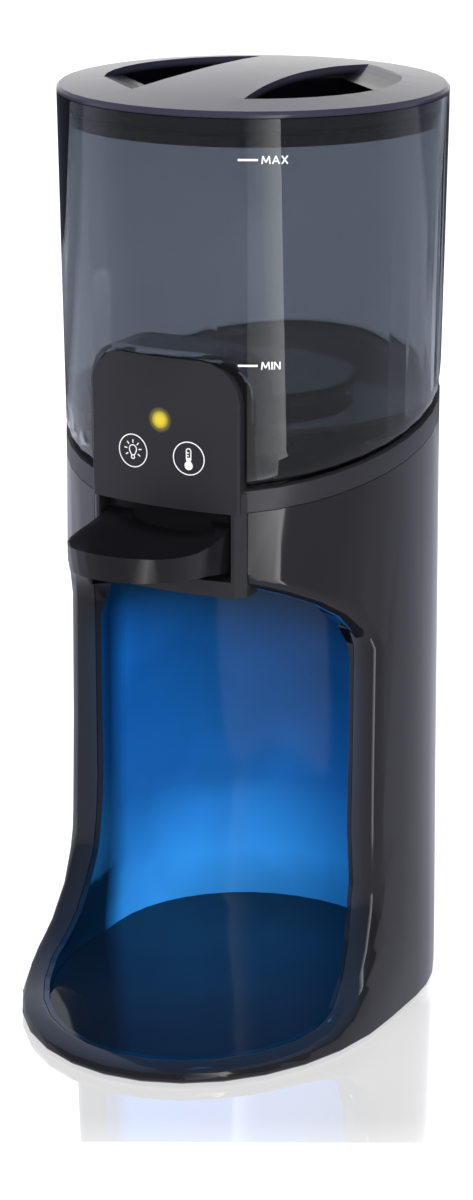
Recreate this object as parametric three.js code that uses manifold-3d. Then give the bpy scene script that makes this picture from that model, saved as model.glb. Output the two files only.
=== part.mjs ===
// Bottle warmer: a water tank on a round column with an open bay, a dispensing head and a base with a rim.
// Millimetres, +Z up, the front faces -Y, the origin is the middle of the footprint on the table.
import * as THREE from 'three';
import { mergeVertices } from 'three/addons/utils/BufferGeometryUtils.js';
import Module from 'manifold-3d';

const wasm = await Module();
wasm.setup();

// Fits shared by all pieces
const gap = 0.3;
const slideGap = 0.8;
const overrun = 20;
const ringSteps = 40;

// Column and base
const tankTopRadius = 78;
const tankFlare = 1.6;
const columnFlare = 2.6;
const columnTopRadius = tankTopRadius - tankFlare;
const columnFootRadius = columnTopRadius + columnFlare;
const shellWall = 2.6;
const baseHalfWidth = columnFootRadius;
const baseStraight = 28;
const baseNose = 97;
const noseAngle = 69;
const rimWidth = 9;
const rimTop = 8;
const footProud = 1.6;
const blendFoot = 12;
const blendTop = 84;
const footChamfer = 1;

// Bay
const bayInset = 12.4;
const bayRadius = columnTopRadius - bayInset;
const bayFloorTop = 5.6;
const floorStep = 0.6;
const bayCeiling = 194;
const coveWidth = 44;
const coveFront = 30;
const coveRear = 52;
const linerWall = 2.2;
const wingAngle = 66.5;
const archWidth = 44;
const archHeight = 30;
const sweepStart = 60;
const sweepDecayAngle = 5.3;
const wingRound = 8;
const rimRoundShare = 0.55;

// Sloped joint between body, cover and tank
const deckSlope = 0.23;
const headDrop = 2;
const headBottom = bayCeiling - headDrop;
const headHeight = 42;
const headTop = headBottom + headHeight;
const seamRise = 16.6;
const deckSeam = headTop + seamRise;
const collarHeight = 8.8;
const collarWall = 3;
const deckRecess = 3;
const deckPlate = 2.4;
const lipWall = 2;
const lipDepth = 3;

// Control tower and dispensing head
const towerHalfWidth = 33;
const towerRise = 35.4;
const towerTop = deckSeam + towerRise;
const towerCornerRadius = 16;
const faceInset = 0.9;
const faceReach = columnTopRadius - faceInset;
const towerDepth = 21.5;
const towerRear = faceReach - towerDepth;
const towerWall = 2.2;
const towerBevel = 0.8;
const faceRadius = 157;
const headHalfWidth = 34.6;
const headChamfer = 3.4;
const headDepth = 15.5;
const headRear = faceReach - headDepth;
const slotTopDrop = 8;
const slotFloor = 6.4;
const paddleSlotTop = headTop - slotTopDrop;
const paddleSlotBottom = headBottom + slotFloor;
const paddleSlotHalfWidth = 29.8;

// Paddle
const paddleHalfWidth = 29;
const shoulderProud = 11.5;
const paddleProud = 48;
const paddleRearInset = 9.5;
const paddleShoulder = faceReach + shoulderProud;
const paddleReach = faceReach + paddleProud;
const paddleRear = faceReach - paddleRearInset;
const crestDrop = 9.8;
const crestSetback = 10;
const paddleCrest = paddleSlotTop - crestDrop;
const paddleCrestReach = paddleShoulder + crestSetback;
const paddleBowRadius = 119.05;
const lowFrontDrop = 7.2;
const lowShoulderDrop = 4.2;
const lowRearDrop = 4.8;
const paddleLowFront = paddleCrest - lowFrontDrop;
const paddleLowShoulder = paddleLowFront - lowShoulderDrop;
const paddleLowRear = paddleLowShoulder - lowRearDrop;
const paddleDraft = 1.8;
const paddleWall = 2.2;
const backDrop = 1.4;
const dishHalfWidth = 27.6;
const dishHalfLength = 32.5;
const dishSetback = 3;
const dishRise = 2.3;
const dishReach = paddleShoulder + dishSetback;
const dishLevel = paddleCrest + dishRise;
const dishDepth = 6.5;
const hingeInset = 10;
const hingeDrop = 3.2;
const hingeReach = headRear - hingeInset;
const hingeHeight = paddleCrest - hingeDrop;
const pinRadius = 1.6;
const armHalfGap = 23;
const armWidth = 4;
const barrelRadius = 4;
const tailReach = 12;
const tailThickness = 3;
const tailPadHalf = 4;

// Tank
const tankFootRadius = columnTopRadius;
const tankWall = 2.4;
const floorRise = 8.4;
const tankFloor = deckSeam + floorRise;
const tankDepth = 120.2;
const tankTop = tankFloor + tankDepth;
const tankEdgeRound = 7;
const plateauInset = 11;
const plateauRadius = towerRear - plateauInset;
const plateauRise = 6;

// Lid
const lidRise = 2.6;
const lidEdgeTop = tankTop + lidRise;
const lidCrown = 5;
const lidEdge = 2.3;
const lidEdgeRound = 1.1;
const lidWall = 2.6;
const skirtDepth = 11;
const sealRadius = 1;
const sealDrop = 6;
const wellInset = 19;
const wellRadius = tankTopRadius - wellInset;
const barHalfWidth = 19.7;
const barBowRadius = 275;
const wellDepth = 13.8;
const wellFloor = lidEdgeTop - wellDepth;
const wellWall = 2;
const rampAngle = 138;
const rampRun = 18.7;
const rampOffset = wellRadius - rampRun;
const rampDrop = 5;

// Tank valve
const valveWallInset = 19.6;
const valveAngle = -61.6;
const valveReach = tankFootRadius - valveWallInset;
const valveX = valveReach * Math.sin(THREE.MathUtils.degToRad(valveAngle));
const valveY = -valveReach * Math.cos(THREE.MathUtils.degToRad(valveAngle));
const valveBodyRadius = 8.5;
const valveFlangeRadius = 9.6;
const valveFlange = 2;
const valveNeckRadius = 7;
const valveBore = 5.2;
const valveSeatBore = 4.4;
const valveSeatDepth = 2.6;
const valveLift = 3;
const flowHoleRadius = 0.9;
const flowHoleOffset = 3.3;
const stemRadius = 1.6;
const orRadius = 1.2;
const orReach = 9;
const valveCoilRadius = 2.7;
const valveWire = 0.35;

// Feet and fasteners
const footRadius = 7;
const coverPlate = 1.6;
const screwShank = 1.3;
const screwHead = 2.7;

const rad = THREE.MathUtils.degToRad;
const lerp = THREE.MathUtils.lerp;
const clamp = THREE.MathUtils.clamp;
const vec = (x, y, z) => new THREE.Vector3(x, y, z);

// Solids

function signedVolume(position, tri) {
  const a = vec(0, 0, 0);
  const b = vec(0, 0, 0);
  const c = vec(0, 0, 0);
  let sum = 0;
  for (let i = 0; i < tri.length; i += 3) {
    a.fromBufferAttribute(position, tri[i]);
    b.fromBufferAttribute(position, tri[i + 1]);
    c.fromBufferAttribute(position, tri[i + 2]);
    sum += a.dot(b.cross(c));
  }
  return sum;
}

// A closed solid from any closed geometry, turned so that its faces point out.
function solidFrom(geometry) {
  const bare = new THREE.BufferGeometry();
  bare.setAttribute('position', geometry.getAttribute('position'));
  bare.setIndex(geometry.getIndex());
  const merged = mergeVertices(bare, 1e-4);
  const all = merged.getIndex().array;
  const tri = [];
  for (let i = 0; i < all.length; i += 3) {
    const [a, b, c] = [all[i], all[i + 1], all[i + 2]];
    if (a !== b && b !== c && c !== a) {
      tri.push(a, b, c);
    }
  }
  const position = merged.getAttribute('position');
  if (signedVolume(position, tri) < 0) {
    for (let i = 0; i < tri.length; i += 3) {
      [tri[i], tri[i + 1]] = [tri[i + 1], tri[i]];
    }
  }
  const mesh = new wasm.Mesh({
    numProp: 3,
    vertProperties: Float32Array.from(position.array),
    triVerts: Uint32Array.from(tri),
  });
  mesh.merge();
  return new wasm.Manifold(mesh);
}

// A closed solid through rings that hold the same number of points, with a fan to a point at each end.
function loft(rings, lowApex, highApex) {
  const count = rings[0].length;
  const points = rings.flat();
  const faces = [];
  for (let r = 0; r + 1 < rings.length; r += 1) {
    for (let i = 0; i < count; i += 1) {
      const a = r * count + i;
      const b = r * count + ((i + 1) % count);
      faces.push(a, b, b + count, a, b + count, a + count);
    }
  }
  const low = points.length;
  const high = low + 1;
  const last = (rings.length - 1) * count;
  points.push(lowApex ?? middle(rings[0]), highApex ?? middle(rings.at(-1)));
  for (let i = 0; i < count; i += 1) {
    const next = (i + 1) % count;
    faces.push(low, next, i, high, last + i, last + next);
  }
  const geometry = new THREE.BufferGeometry().setFromPoints(points);
  geometry.setIndex(faces);
  return solidFrom(geometry);
}

function middle(ring) {
  const sum = vec(0, 0, 0);
  ring.forEach((p) => sum.add(p));
  return sum.divideScalar(ring.length);
}

function turned(profile, steps = ringSteps) {
  const points = profile.map(([r, z]) => new THREE.Vector2(r, z));
  const geometry = new THREE.LatheGeometry(points, steps);
  geometry.rotateX(Math.PI / 2);
  return solidFrom(geometry);
}

function rod(radius, low, high, steps = 16) {
  return turned([[0, low], [radius, low], [radius, high], [0, high]], steps);
}

function washer(outer, inner, low, high, steps = 20) {
  return turned([[inner, low], [outer, low], [outer, high], [inner, high], [inner, low]], steps);
}

function ringOf(centreRadius, thick, level, steps = 36, sides = 6) {
  const profile = [];
  for (let i = 0; i <= sides; i += 1) {
    const turn = (2 * Math.PI * (i % sides)) / sides;
    profile.push([centreRadius + thick * Math.cos(turn), level + thick * Math.sin(turn)]);
  }
  return turned(profile, steps);
}

function block(x0, x1, y0, y1, z0, z1) {
  const geometry = new THREE.BoxGeometry(x1 - x0, y1 - y0, z1 - z0);
  geometry.translate((x0 + x1) / 2, (y0 + y1) / 2, (z0 + z1) / 2);
  return solidFrom(geometry);
}

function extruded(points, depth) {
  const shape = new THREE.Shape(points.map(([x, y]) => new THREE.Vector2(x, y)));
  return new THREE.ExtrudeGeometry(shape, { depth, bevelEnabled: false });
}

// A plan outline pulled up along Z.
function planPrism(points, low, high) {
  return solidFrom(extruded(points, high - low).translate(0, 0, low));
}

// A front outline in X and Z pulled back along Y.
function frontPrism(points, front, rear) {
  const basis = new THREE.Matrix4().makeBasis(vec(1, 0, 0), vec(0, 0, 1), vec(0, -1, 0));
  return solidFrom(extruded(points, rear - front).applyMatrix4(basis).translate(0, rear, 0));
}

// A side outline in Y and Z pulled across along X.
function sidePrism(points, left, right) {
  const basis = new THREE.Matrix4().makeBasis(vec(0, 1, 0), vec(0, 0, 1), vec(1, 0, 0));
  return solidFrom(extruded(points, right - left).applyMatrix4(basis).translate(left, 0, 0));
}

function tube(points, outer, inner, steps, sides = 6) {
  const section = new THREE.Shape(circlePoints(outer, sides));
  section.holes.push(new THREE.Path(circlePoints(inner, sides)));
  const path = new THREE.CatmullRomCurve3(points.map(([x, y, z]) => vec(x, y, z)));
  const geometry = new THREE.ExtrudeGeometry(section, { steps, extrudePath: path });
  return solidFrom(geometry);
}

function circlePoints(radius, sides) {
  const points = [];
  for (let i = 0; i < sides; i += 1) {
    const turn = (2 * Math.PI * i) / sides;
    points.push(new THREE.Vector2(radius * Math.cos(turn), radius * Math.sin(turn)));
  }
  return points;
}

const join = (solids) => solids.reduce((sum, solid) => sum.add(solid));
const at = (solid, x, y, z = 0) => solid.translate([x, y, z]);

// The height of a sloped joint at a depth y.
const slopeAt = (y, level) => level + deckSlope * y;

function ringAngles() {
  const angles = [];
  for (let i = 0; i < ringSteps; i += 1) {
    angles.push(-180 + (360 * i) / ringSteps);
  }
  return angles;
}

// A ring round the column's axis, level or sloped like the deck.
function slopedRing(radius, level, slope = deckSlope) {
  return ringAngles().map((angle) => {
    const y = -radius * Math.cos(rad(angle));
    return vec(radius * Math.sin(rad(angle)), y, level + slope * y);
  });
}

// Column and base outlines: angle 0 is the front, the base outline is a straight-sided half ellipse.

const baseShare = (z) => (1 - clamp((z - blendFoot) / (blendTop - blendFoot), 0, 1)) ** 2;
const collarSeam = deckSeam - collarHeight;
const columnRadius = (z) => lerp(columnFootRadius, columnTopRadius, clamp(z / collarSeam, 0, 1));

function basePoint(angle, halfWidth, nose, rear) {
  const a = Math.abs(angle);
  const side = Math.sign(angle);
  if (a <= noseAngle) {
    const turn = rad((90 * a) / noseAngle);
    return [side * halfWidth * Math.sin(turn), -(baseStraight + nose * Math.cos(turn))];
  }
  if (a <= 90) {
    return [side * halfWidth, (-baseStraight * (90 - a)) / (90 - noseAngle)];
  }
  return [side * halfWidth * Math.sin(rad(a)), -rear * Math.cos(rad(a))];
}

function blended(angle, z, radius, foot) {
  const share = baseShare(z);
  const x = lerp(radius * Math.sin(rad(angle)), foot[0], share);
  const y = lerp(-radius * Math.cos(rad(angle)), foot[1], share);
  return vec(x, y, z);
}

// A point on the outer wall, set in by a distance.
function wallPoint(angle, z, inset) {
  const foot = basePoint(angle, baseHalfWidth - inset, baseNose - inset, columnFootRadius - inset);
  return blended(angle, z, columnRadius(z) - inset, foot);
}

// A point on the bay's inner wall, set out by a distance.
const trayInset = rimWidth + linerWall + gap;
function bayPoint(angle, z, outset) {
  const inset = trayInset - outset;
  const foot = basePoint(angle, baseHalfWidth - inset, baseNose - inset, bayRadius + outset);
  return blended(angle, z, bayRadius + outset, foot);
}

const wallLevels = [blendFoot, 24, 38, 54, blendTop];

// The whole outer form up to the sloped joint, set in by a distance.
function columnForm(inset, low, level) {
  const rings = [low, ...wallLevels].map((z) => ringAngles().map((a) => wallPoint(a, z, inset)));
  if (inset === 0) {
    const chamfer = ringAngles().map((a) => wallPoint(a, low, footChamfer));
    rings[0] = ringAngles().map((a) => wallPoint(a, low + footChamfer, inset));
    rings.unshift(chamfer);
  }
  rings.push(slopedRing(columnTopRadius - inset, level));
  return loft(rings);
}

// The bay's clear space behind the wings, with a cove round its ceiling, set out by a distance.
function bayForm(outset, low) {
  const rings = [low, ...wallLevels].map((z) => ringAngles().map((a) => bayPoint(a, z, outset)));
  const coveSteps = 3;
  for (let i = 0; i <= coveSteps; i += 1) {
    const turn = (Math.PI / 2) * (i / coveSteps);
    const radius = bayRadius + outset - coveWidth * (1 - Math.cos(turn));
    rings.push(ringAngles().map((angle) => {
      const drop = lerp(coveFront, coveRear, (1 - Math.cos(rad(angle))) / 2);
      const z = bayCeiling + outset - drop * (1 - Math.sin(turn));
      return vec(radius * Math.sin(rad(angle)), -radius * Math.cos(rad(angle)), z);
    }));
  }
  return loft(rings);
}

// The zone inside the shell that the liner and floor fill, set out by a distance.
function zoneForm(outset, low, top) {
  const rings = [low, ...wallLevels].map((z) => ringAngles().map((a) => bayPoint(a, z, outset)));
  rings.push(slopedRing(bayRadius + outset, top, 0));
  return loft(rings);
}

// Half of the opening's outline as angle and height, from the top's middle down to the rim's middle.
function openingHalf() {
  const points = [];
  const archRadius = columnRadius(bayCeiling);
  const halfWidth = archRadius * Math.sin(rad(wingAngle));
  const flat = halfWidth - archWidth;
  const sideAngle = (x) => THREE.MathUtils.radToDeg(Math.asin(x / archRadius));
  points.push([0, bayCeiling], [sideAngle(flat / 2), bayCeiling]);
  const archSteps = 6;
  for (let i = 0; i <= archSteps; i += 1) {
    const turn = (Math.PI / 2) * (i / archSteps);
    const x = flat + archWidth * Math.sin(turn);
    points.push([sideAngle(x), bayCeiling - archHeight * (1 - Math.cos(turn))]);
  }
  const sideSteps = 2;
  for (let i = 1; i < sideSteps; i += 1) {
    points.push([wingAngle, lerp(bayCeiling - archHeight, sweepStart, i / sideSteps)]);
  }
  const sweepSteps = 12;
  for (let i = 0; i <= sweepSteps; i += 1) {
    const travel = wingAngle * (i / sweepSteps) ** 1.7;
    const height = (sweepStart - rimTop) * Math.exp(-travel / sweepDecayAngle);
    points.push([wingAngle - travel, rimTop + height]);
  }
  return points;
}

// The opening as a cutter through the wall, rounded over at the outer surface, set out by a distance.
const outerDepths = [-overrun / 2, 0, 1, 3.4, wingRound, bayRadius - 1];
const roomDepths = [0, 3, wingRound, bayRadius - 1];
const bayDepths = [wingRound, bayRadius - 1];
function openingForm(outset, depths) {
  const half = openingHalf();
  const other = half.slice(1, -1).reverse().map(([angle, z]) => [-angle, z]);
  const outline = [...half, ...other];
  const count = outline.length;
  const degreeArc = (z) => lerp(rad(columnRadius(z)), baseNose / 48, baseShare(z));
  const normals = outline.map(([, z], i) => {
    const before = outline[(i + count - 1) % count];
    const after = outline[(i + 1) % count];
    const run = (after[0] - before[0]) * degreeArc(z);
    const rise = after[1] - before[1];
    const length = Math.hypot(run, rise);
    return [-rise / length, run / length];
  });
  const rings = depths.map((depth) => {
    const rest = wingRound - clamp(depth, 0, wingRound);
    const round = wingRound - Math.sqrt(wingRound ** 2 - rest ** 2);
    return outline.map(([angle, z], i) => {
      const lowShare = clamp((z - rimTop) / (sweepStart - rimTop), 0, 1);
      const spread = outset + round * lerp(rimRoundShare, 1, lowShare);
      const wide = angle + (spread * normals[i][0]) / degreeArc(z);
      return wallPoint(wide, z + spread * normals[i][1], depth);
    });
  });
  const mid = (bayCeiling + rimTop) / 2;
  return loft(rings, vec(0, -columnFootRadius * 6, mid), vec(0, -overrun / 4, mid));
}

// Body shell: the outer skin with the bay's opening, its rounded edges and the notch for the head.
function bodyShell() {
  const outer = columnForm(0, footProud, collarSeam).subtract(openingForm(0, outerDepths));
  const room = columnForm(shellWall, -overrun, collarSeam + overrun).subtract(openingForm(shellWall, roomDepths));
  const zone = zoneForm(linerWall + gap, -overrun, bayCeiling + overrun);
  const notch = frontPrism(headOutline(headHalfWidth + gap, headBottom - gap, overrun), -headNotch, -headRear + gap);
  let shell = outer.subtract(room).subtract(zone).subtract(notch);
  shell = shell.add(join(coverBosses())).add(join(shellLedges()));
  shell = shell.subtract(rebateForm()).subtract(join(coverBossHoles())).subtract(join(ledgeHoles()));
  return shell.subtract(inletHole());
}

const headNotch = faceReach + overrun;
function headOutline(half, low, above) {
  return [[-half, low], [half, low], [half, deckSeam + above], [-half, deckSeam + above]];
}

// The rebate under the shell that takes the bottom cover.
const coverInset = shellWall + gap;
function rebateForm() {
  const low = ringAngles().map((a) => wallPoint(a, -overrun, coverInset - gap));
  const high = ringAngles().map((a) => wallPoint(a, footProud + coverPlate + gap, coverInset - gap));
  return loft([low, high]);
}

// Screw bosses
const bossRadius = 3.6;
const bossInset = 6;
const bossOffset = columnFootRadius - bossInset;
const bossTop = 24;
const coverBossAngles = [-150, -108, 108, 150];
const coverPostAngles = [-100, 100, 180];
const coverPostRadius = 3.6;
const coverPostInset = 9.8;
const coverPostOffset = columnTopRadius - coverPostInset;
const ledgeHeight = 4;
const screwGrip = 5;

const around = (angle, radius) => [radius * Math.sin(rad(angle)), -radius * Math.cos(rad(angle))];

function coverBosses() {
  return coverBossAngles.map((angle) => {
    const [x, y] = around(angle, bossOffset);
    return at(rod(bossRadius, footProud + coverPlate + gap, bossTop, 16), x, y);
  });
}

function coverBossHoles() {
  return coverBossAngles.map((angle) => {
    const [x, y] = around(angle, bossOffset);
    return at(rod(screwShank + gap, -overrun, bossTop - bossRadius, 12), x, y);
  });
}

// Ledges on the inside of the wall carry the cover's posts, with a screw up through each.
const deckUnder = deckSeam - deckRecess - deckPlate;
const ledgeSeat = (y) => slopeAt(y - coverPostRadius, collarSeam - lipDepth) - gap;

function shellLedges() {
  return coverPostAngles.map((angle) => {
    const [x, y] = around(angle, coverPostOffset);
    const top = ledgeSeat(y);
    const length = columnTopRadius - coverPostOffset - shellWall / 2;
    const web = block(-coverPostRadius, coverPostRadius, 0, length, top - ledgeHeight, top);
    return at(rod(coverPostRadius, top - ledgeHeight, top).add(web.rotate([0, 0, angle - 180])), x, y);
  });
}

function ledgeHoles() {
  return coverPostAngles.map((angle) => {
    const [x, y] = around(angle, coverPostOffset);
    return at(rod(screwShank + gap, ledgeSeat(y) - overrun, ledgeSeat(y) + overrun, 10), x, y);
  });
}

function coverPosts() {
  return coverPostAngles.map((angle) => {
    const [x, y] = around(angle, coverPostOffset);
    return at(rod(coverPostRadius, ledgeSeat(y) + gap, slopeAt(y, deckUnder) + deckPlate / 2), x, y);
  });
}

function coverPostHoles() {
  return coverPostAngles.map((angle) => {
    const [x, y] = around(angle, coverPostOffset);
    return at(rod(screwShank + gap, ledgeSeat(y) - overrun, ledgeSeat(y) + screwGrip + gap, 10), x, y);
  });
}

// Power inlet at the rear, near the foot
const inletHeight = 26;
const inletRadius = 5.4;
const inletFlangeRadius = 7.6;
const inletFlange = 1.4;
const inletDepth = 8.6;
const inletSocketRadius = 3.4;
const inletPinRadius = 1;
const facetRise = Math.tan(Math.PI / ringSteps);

const backward = (solid) => solid.rotate([-90, 0, 0]);

function inletHole() {
  const reach = columnRadius(inletHeight) - shellWall - overrun / 2;
  return at(backward(rod(inletRadius + gap, 0, overrun, 16)), 0, reach, inletHeight);
}

// The socket sits in the rear wall from inside, its flange against the wall.
function powerInlet() {
  const seat = columnRadius(inletHeight) - shellWall - inletFlangeRadius * facetRise - gap;
  const body = rod(inletRadius, inletFlange - inletDepth, shellWall, 16)
    .add(rod(inletFlangeRadius, -inletFlange, 0, 16));
  const socket = rod(inletSocketRadius, 2 * inletFlange - inletDepth, overrun, 16);
  const pin = rod(inletPinRadius, inletFlange - inletDepth, 0, 12);
  return at(backward(body.subtract(socket).add(pin)), 0, seat, inletHeight);
}

// Bay liner: rear and side walls with the coved ceiling and the bosses above it.
const spoutReach = hingeReach;
const spoutRadius = 5;
const spoutBore = 3.2;
const spoutFlange = 8;
const spoutRise = 12;
const spoutDrop = 5;
const ceilingPitch = 20;
const spoutTop = headBottom + spoutRise;
const spoutTip = headBottom - spoutDrop;
const lightReach = spoutReach - ceilingPitch;
const lightRadius = 7.5;
const lensFlange = 9;
const lensPlate = 1.4;
const solenoidReach = lightReach - ceilingPitch;
const solenoidBossSpan = 7;
const solenoidBossRadius = 3;
const solenoidRise = 16;
const solenoidFoot = headBottom + solenoidRise;

function bayLiner() {
  const low = bayFloorTop - floorStep + gap;
  const ceiling = bayCeiling + linerWall;
  const whole = bayForm(linerWall, low).add(openingForm(linerWall, bayDepths));
  const skin = whole.intersect(zoneForm(linerWall, low, ceiling));
  let liner = skin.subtract(bayForm(0, low - overrun)).subtract(openingForm(0, bayDepths));
  [-solenoidBossSpan, solenoidBossSpan].forEach((x) => {
    liner = liner.add(at(rod(solenoidBossRadius, ceiling - linerWall / 2, solenoidFoot - gap, 16), x, -solenoidReach));
  });
  const spoutHole = rod(spoutRadius + gap, bayCeiling - overrun, ceiling + overrun, 16);
  const lightHole = rod(lightRadius + gap, bayCeiling - overrun, ceiling + overrun, 20);
  return liner.subtract(at(spoutHole, 0, -spoutReach)).subtract(at(lightHole, 0, -lightReach));
}

// The floor's edge steps down under the liner, which stands round its top.
function bayFloor() {
  const low = footProud + coverPlate + gap;
  const step = bayFloorTop - floorStep;
  const rim = loft([low, step].map((z) => ringAngles().map((a) => bayPoint(a, z, linerWall))));
  return rim.add(loft([low, bayFloorTop].map((z) => ringAngles().map((a) => bayPoint(a, z, -gap)))));
}

// Bottom cover with countersunk holes, foot seats and slots that let warm air out.
const ventCount = 4;
const ventPitch = 9;
const ventLength = 34;
const ventWidth = 3;
const footSeat = 0.8;
const footSideInset = 29;
const footFrontInset = 47;
const footRearInset = 39;
const footX = baseHalfWidth - footSideInset;
const footFrontReach = baseStraight + baseNose - footFrontInset;
const footRearReach = columnFootRadius - footRearInset;
const footPlaces = [-footFrontReach, footRearReach].flatMap((y) => [[-footX, y], [footX, y]]);

function bottomCover() {
  const high = footProud + coverPlate;
  const rings = [footProud, high].map((z) => ringAngles().map((a) => wallPoint(a, z, coverInset)));
  let cover = loft(rings);
  coverBossAngles.forEach((angle) => {
    const [x, y] = around(angle, bossOffset);
    const sink = turned([[0, footProud - 1], [screwHead + gap + 1, footProud - 1], [screwHead + gap, footProud],
      [screwShank + gap, high], [screwShank + gap, high + 1], [0, high + 1]], 12);
    cover = cover.subtract(at(sink, x, y));
  });
  footPlaces.forEach(([x, y]) => {
    cover = cover.subtract(at(rod(footRadius + gap, footProud - overrun, footProud + footSeat, 16), x, y));
  });
  for (let i = 0; i < ventCount; i += 1) {
    const y = (i - (ventCount - 1) / 2) * ventPitch;
    const slot = block(-ventLength / 2, ventLength / 2, y - ventWidth / 2, y + ventWidth / 2, 0, high + 1);
    cover = cover.subtract(slot);
  }
  return cover;
}

function foot() {
  const top = footProud + footSeat - gap;
  return turned([[0, 0], [footRadius - footSeat, 0], [footRadius, footSeat], [footRadius, top], [0, top]], 16);
}

// A countersunk screw whose head faces down.
const screwClear = 4;
const screwPoint = 2;
function coverScrew() {
  const high = footProud + coverPlate;
  const tip = bossTop - bossRadius - screwClear;
  return turned([[0, footProud], [screwHead, footProud], [screwShank, high], [screwShank, tip - screwPoint],
    [0, tip]], 10);
}

// A pan-head screw whose head faces up, with the head's seat at zero.
const crownShare = 0.6;
const crownTopShare = 0.7;
function panScrew(length, head, shank) {
  const crown = head * crownShare;
  return turned([[0, -length], [shank, -length + shank], [shank, 0], [head, 0], [head, crown * crownShare],
    [head * crownTopShare, crown], [0, crown]], 10);
}

// Top cover: collar, sloped deck, control tower and head front in one moulding.

function faceOutline(half, bevel, outset, rear) {
  const points = [];
  const steps = 8;
  const inner = half - bevel;
  for (let i = 0; i <= steps; i += 1) {
    const x = lerp(-inner, inner, i / steps);
    points.push([x, faceDepth(x) - outset]);
  }
  points.push([half, faceDepth(half) + bevel - outset]);
  points.push([half, -rear], [-half, -rear]);
  points.push([-half, faceDepth(half) + bevel - outset]);
  return points;
}

const faceDepth = (x) => -faceReach + faceRadius - Math.sqrt(faceRadius ** 2 - x ** 2);

function towerOutline(grow) {
  const half = towerHalfWidth + grow;
  const top = towerTop + grow;
  const round = towerCornerRadius + grow;
  const points = [[-half, headBottom - overrun], [half, headBottom - overrun]];
  const steps = 5;
  for (let i = 0; i <= steps; i += 1) {
    const turn = (Math.PI / 2) * (i / steps);
    points.push([half - round * (1 - Math.cos(turn)), top - round * (1 - Math.sin(turn))]);
  }
  for (let i = steps; i >= 0; i -= 1) {
    const turn = (Math.PI / 2) * (i / steps);
    points.push([-half + round * (1 - Math.cos(turn)), top - round * (1 - Math.sin(turn))]);
  }
  return points;
}

function towerForm() {
  const front = frontPrism(towerOutline(0), -faceReach - overrun, -towerRear);
  const plan = planPrism(faceOutline(towerHalfWidth, towerBevel, 0, towerRear), paddleSlotTop, towerTop + overrun);
  return front.intersect(plan);
}

function towerRoom() {
  const front = frontPrism(towerOutline(-towerWall), -faceReach - overrun, -towerRear - towerWall);
  const half = towerHalfWidth - towerWall;
  const outline = faceOutline(half, 0, -towerWall, towerRear + towerWall);
  return front.intersect(planPrism(outline, paddleSlotTop - overrun / 2, towerTop + overrun));
}

// The head in front of the bay's ceiling, flush with the column at its sides.
function headForm() {
  const outline = faceOutline(headHalfWidth, headChamfer, 0, headRear);
  const head = planPrism(outline, headBottom, headTop);
  const zoneRadius = bayRadius + linerWall + gap;
  const zone = loft([slopedRing(zoneRadius, headBottom - overrun, 0), slopedRing(zoneRadius, paddleSlotBottom, 0)]);
  return head.subtract(zone);
}

function headRoom() {
  const half = headHalfWidth - shellWall;
  const outline = faceOutline(half, headChamfer - shellWall, -shellWall, headRear - overrun);
  return planPrism(outline, paddleSlotBottom, headTop - towerWall);
}

function topCover() {
  const low = collarSeam + gap;
  const outer = loft([slopedRing(columnTopRadius, low), slopedRing(columnTopRadius, deckSeam)]);
  const lipRadius = columnTopRadius - shellWall - gap;
  const lip = loft([slopedRing(lipRadius, low - lipDepth), slopedRing(lipRadius, low + 1)]);
  const above = loft([slopedRing(columnTopRadius - collarWall, deckSeam - deckRecess),
    slopedRing(columnTopRadius - collarWall, deckSeam + overrun)]);
  const below = loft([slopedRing(lipRadius - lipWall, low - overrun), slopedRing(lipRadius - lipWall, deckUnder)]);
  let cover = outer.add(lip).subtract(below).add(headForm()).subtract(above);
  cover = cover.add(pedestal()).subtract(pedestalRoom()).add(pedestalLedge()).add(towerForm());
  cover = cover.subtract(headRoom()).subtract(towerRoom()).subtract(faceTrim()).add(join(hingeEars()));
  cover = cover.add(socketCup()).subtract(socketHoles()).add(socketPost());
  cover = cover.add(springPost()).add(switchPost());
  cover = cover.add(join(boardPosts())).subtract(join(boardPostHoles()));
  cover = cover.add(join(coverPosts())).subtract(join(coverPostHoles()));
  return cover.subtract(paddleSlot()).subtract(statusHole());
}

// The room in front of the panel's face, which the round collar would fill.
function faceTrim() {
  const points = faceOutline(towerHalfWidth, 0, 0, faceReach + overrun);
  return planPrism(points, headBottom - overrun, towerTop + overrun);
}

function paddleSlot() {
  const half = paddleSlotHalfWidth;
  return block(-half, half, -faceReach - overrun, -headRear - shellWall, paddleSlotBottom, paddleSlotTop);
}

// Pedestal that lifts the heater plate to the tank's raised floor.
const plateTop = tankFloor - tankWall + plateauRise - gap;
const plateThickness = 3;
const plateRadius = plateauRadius - tankWall - slideGap;
const ledgeTop = plateTop - plateThickness - gap;
const ledgeThickness = 2;
const ledgeWidth = 5.5;
const pedestalRadius = plateRadius - gap;
const ledgeRadius = pedestalRadius - ledgeWidth;

function pedestal() {
  const lowest = slopeAt(-pedestalRadius, deckUnder);
  return rod(pedestalRadius, lowest - lipWall, ledgeTop, 36);
}

function pedestalRoom() {
  const lowest = slopeAt(-pedestalRadius, deckUnder) - overrun;
  return rod(pedestalRadius - lipWall, lowest, ledgeTop - ledgeThickness, 36)
    .add(rod(ledgeRadius, lowest, ledgeTop + overrun, 36));
}

function pedestalLedge() {
  return washer(pedestalRadius, ledgeRadius, ledgeTop - ledgeThickness, ledgeTop, 36);
}

function heaterPlate() {
  return rod(plateRadius, ledgeTop + gap, plateTop, 36);
}

const heatRingShare = 0.7647;
const heatRingRadius = ledgeRadius * heatRingShare;
const heatRingThick = 3;
function heatingRing() {
  return ringOf(heatRingRadius, heatRingThick, ledgeTop - heatRingThick, 20, 8);
}

const sensorRadius = 4;
const sensorLength = 9;
function temperatureSensor() {
  return rod(sensorRadius, ledgeTop - sensorLength, ledgeTop, 20);
}

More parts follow.
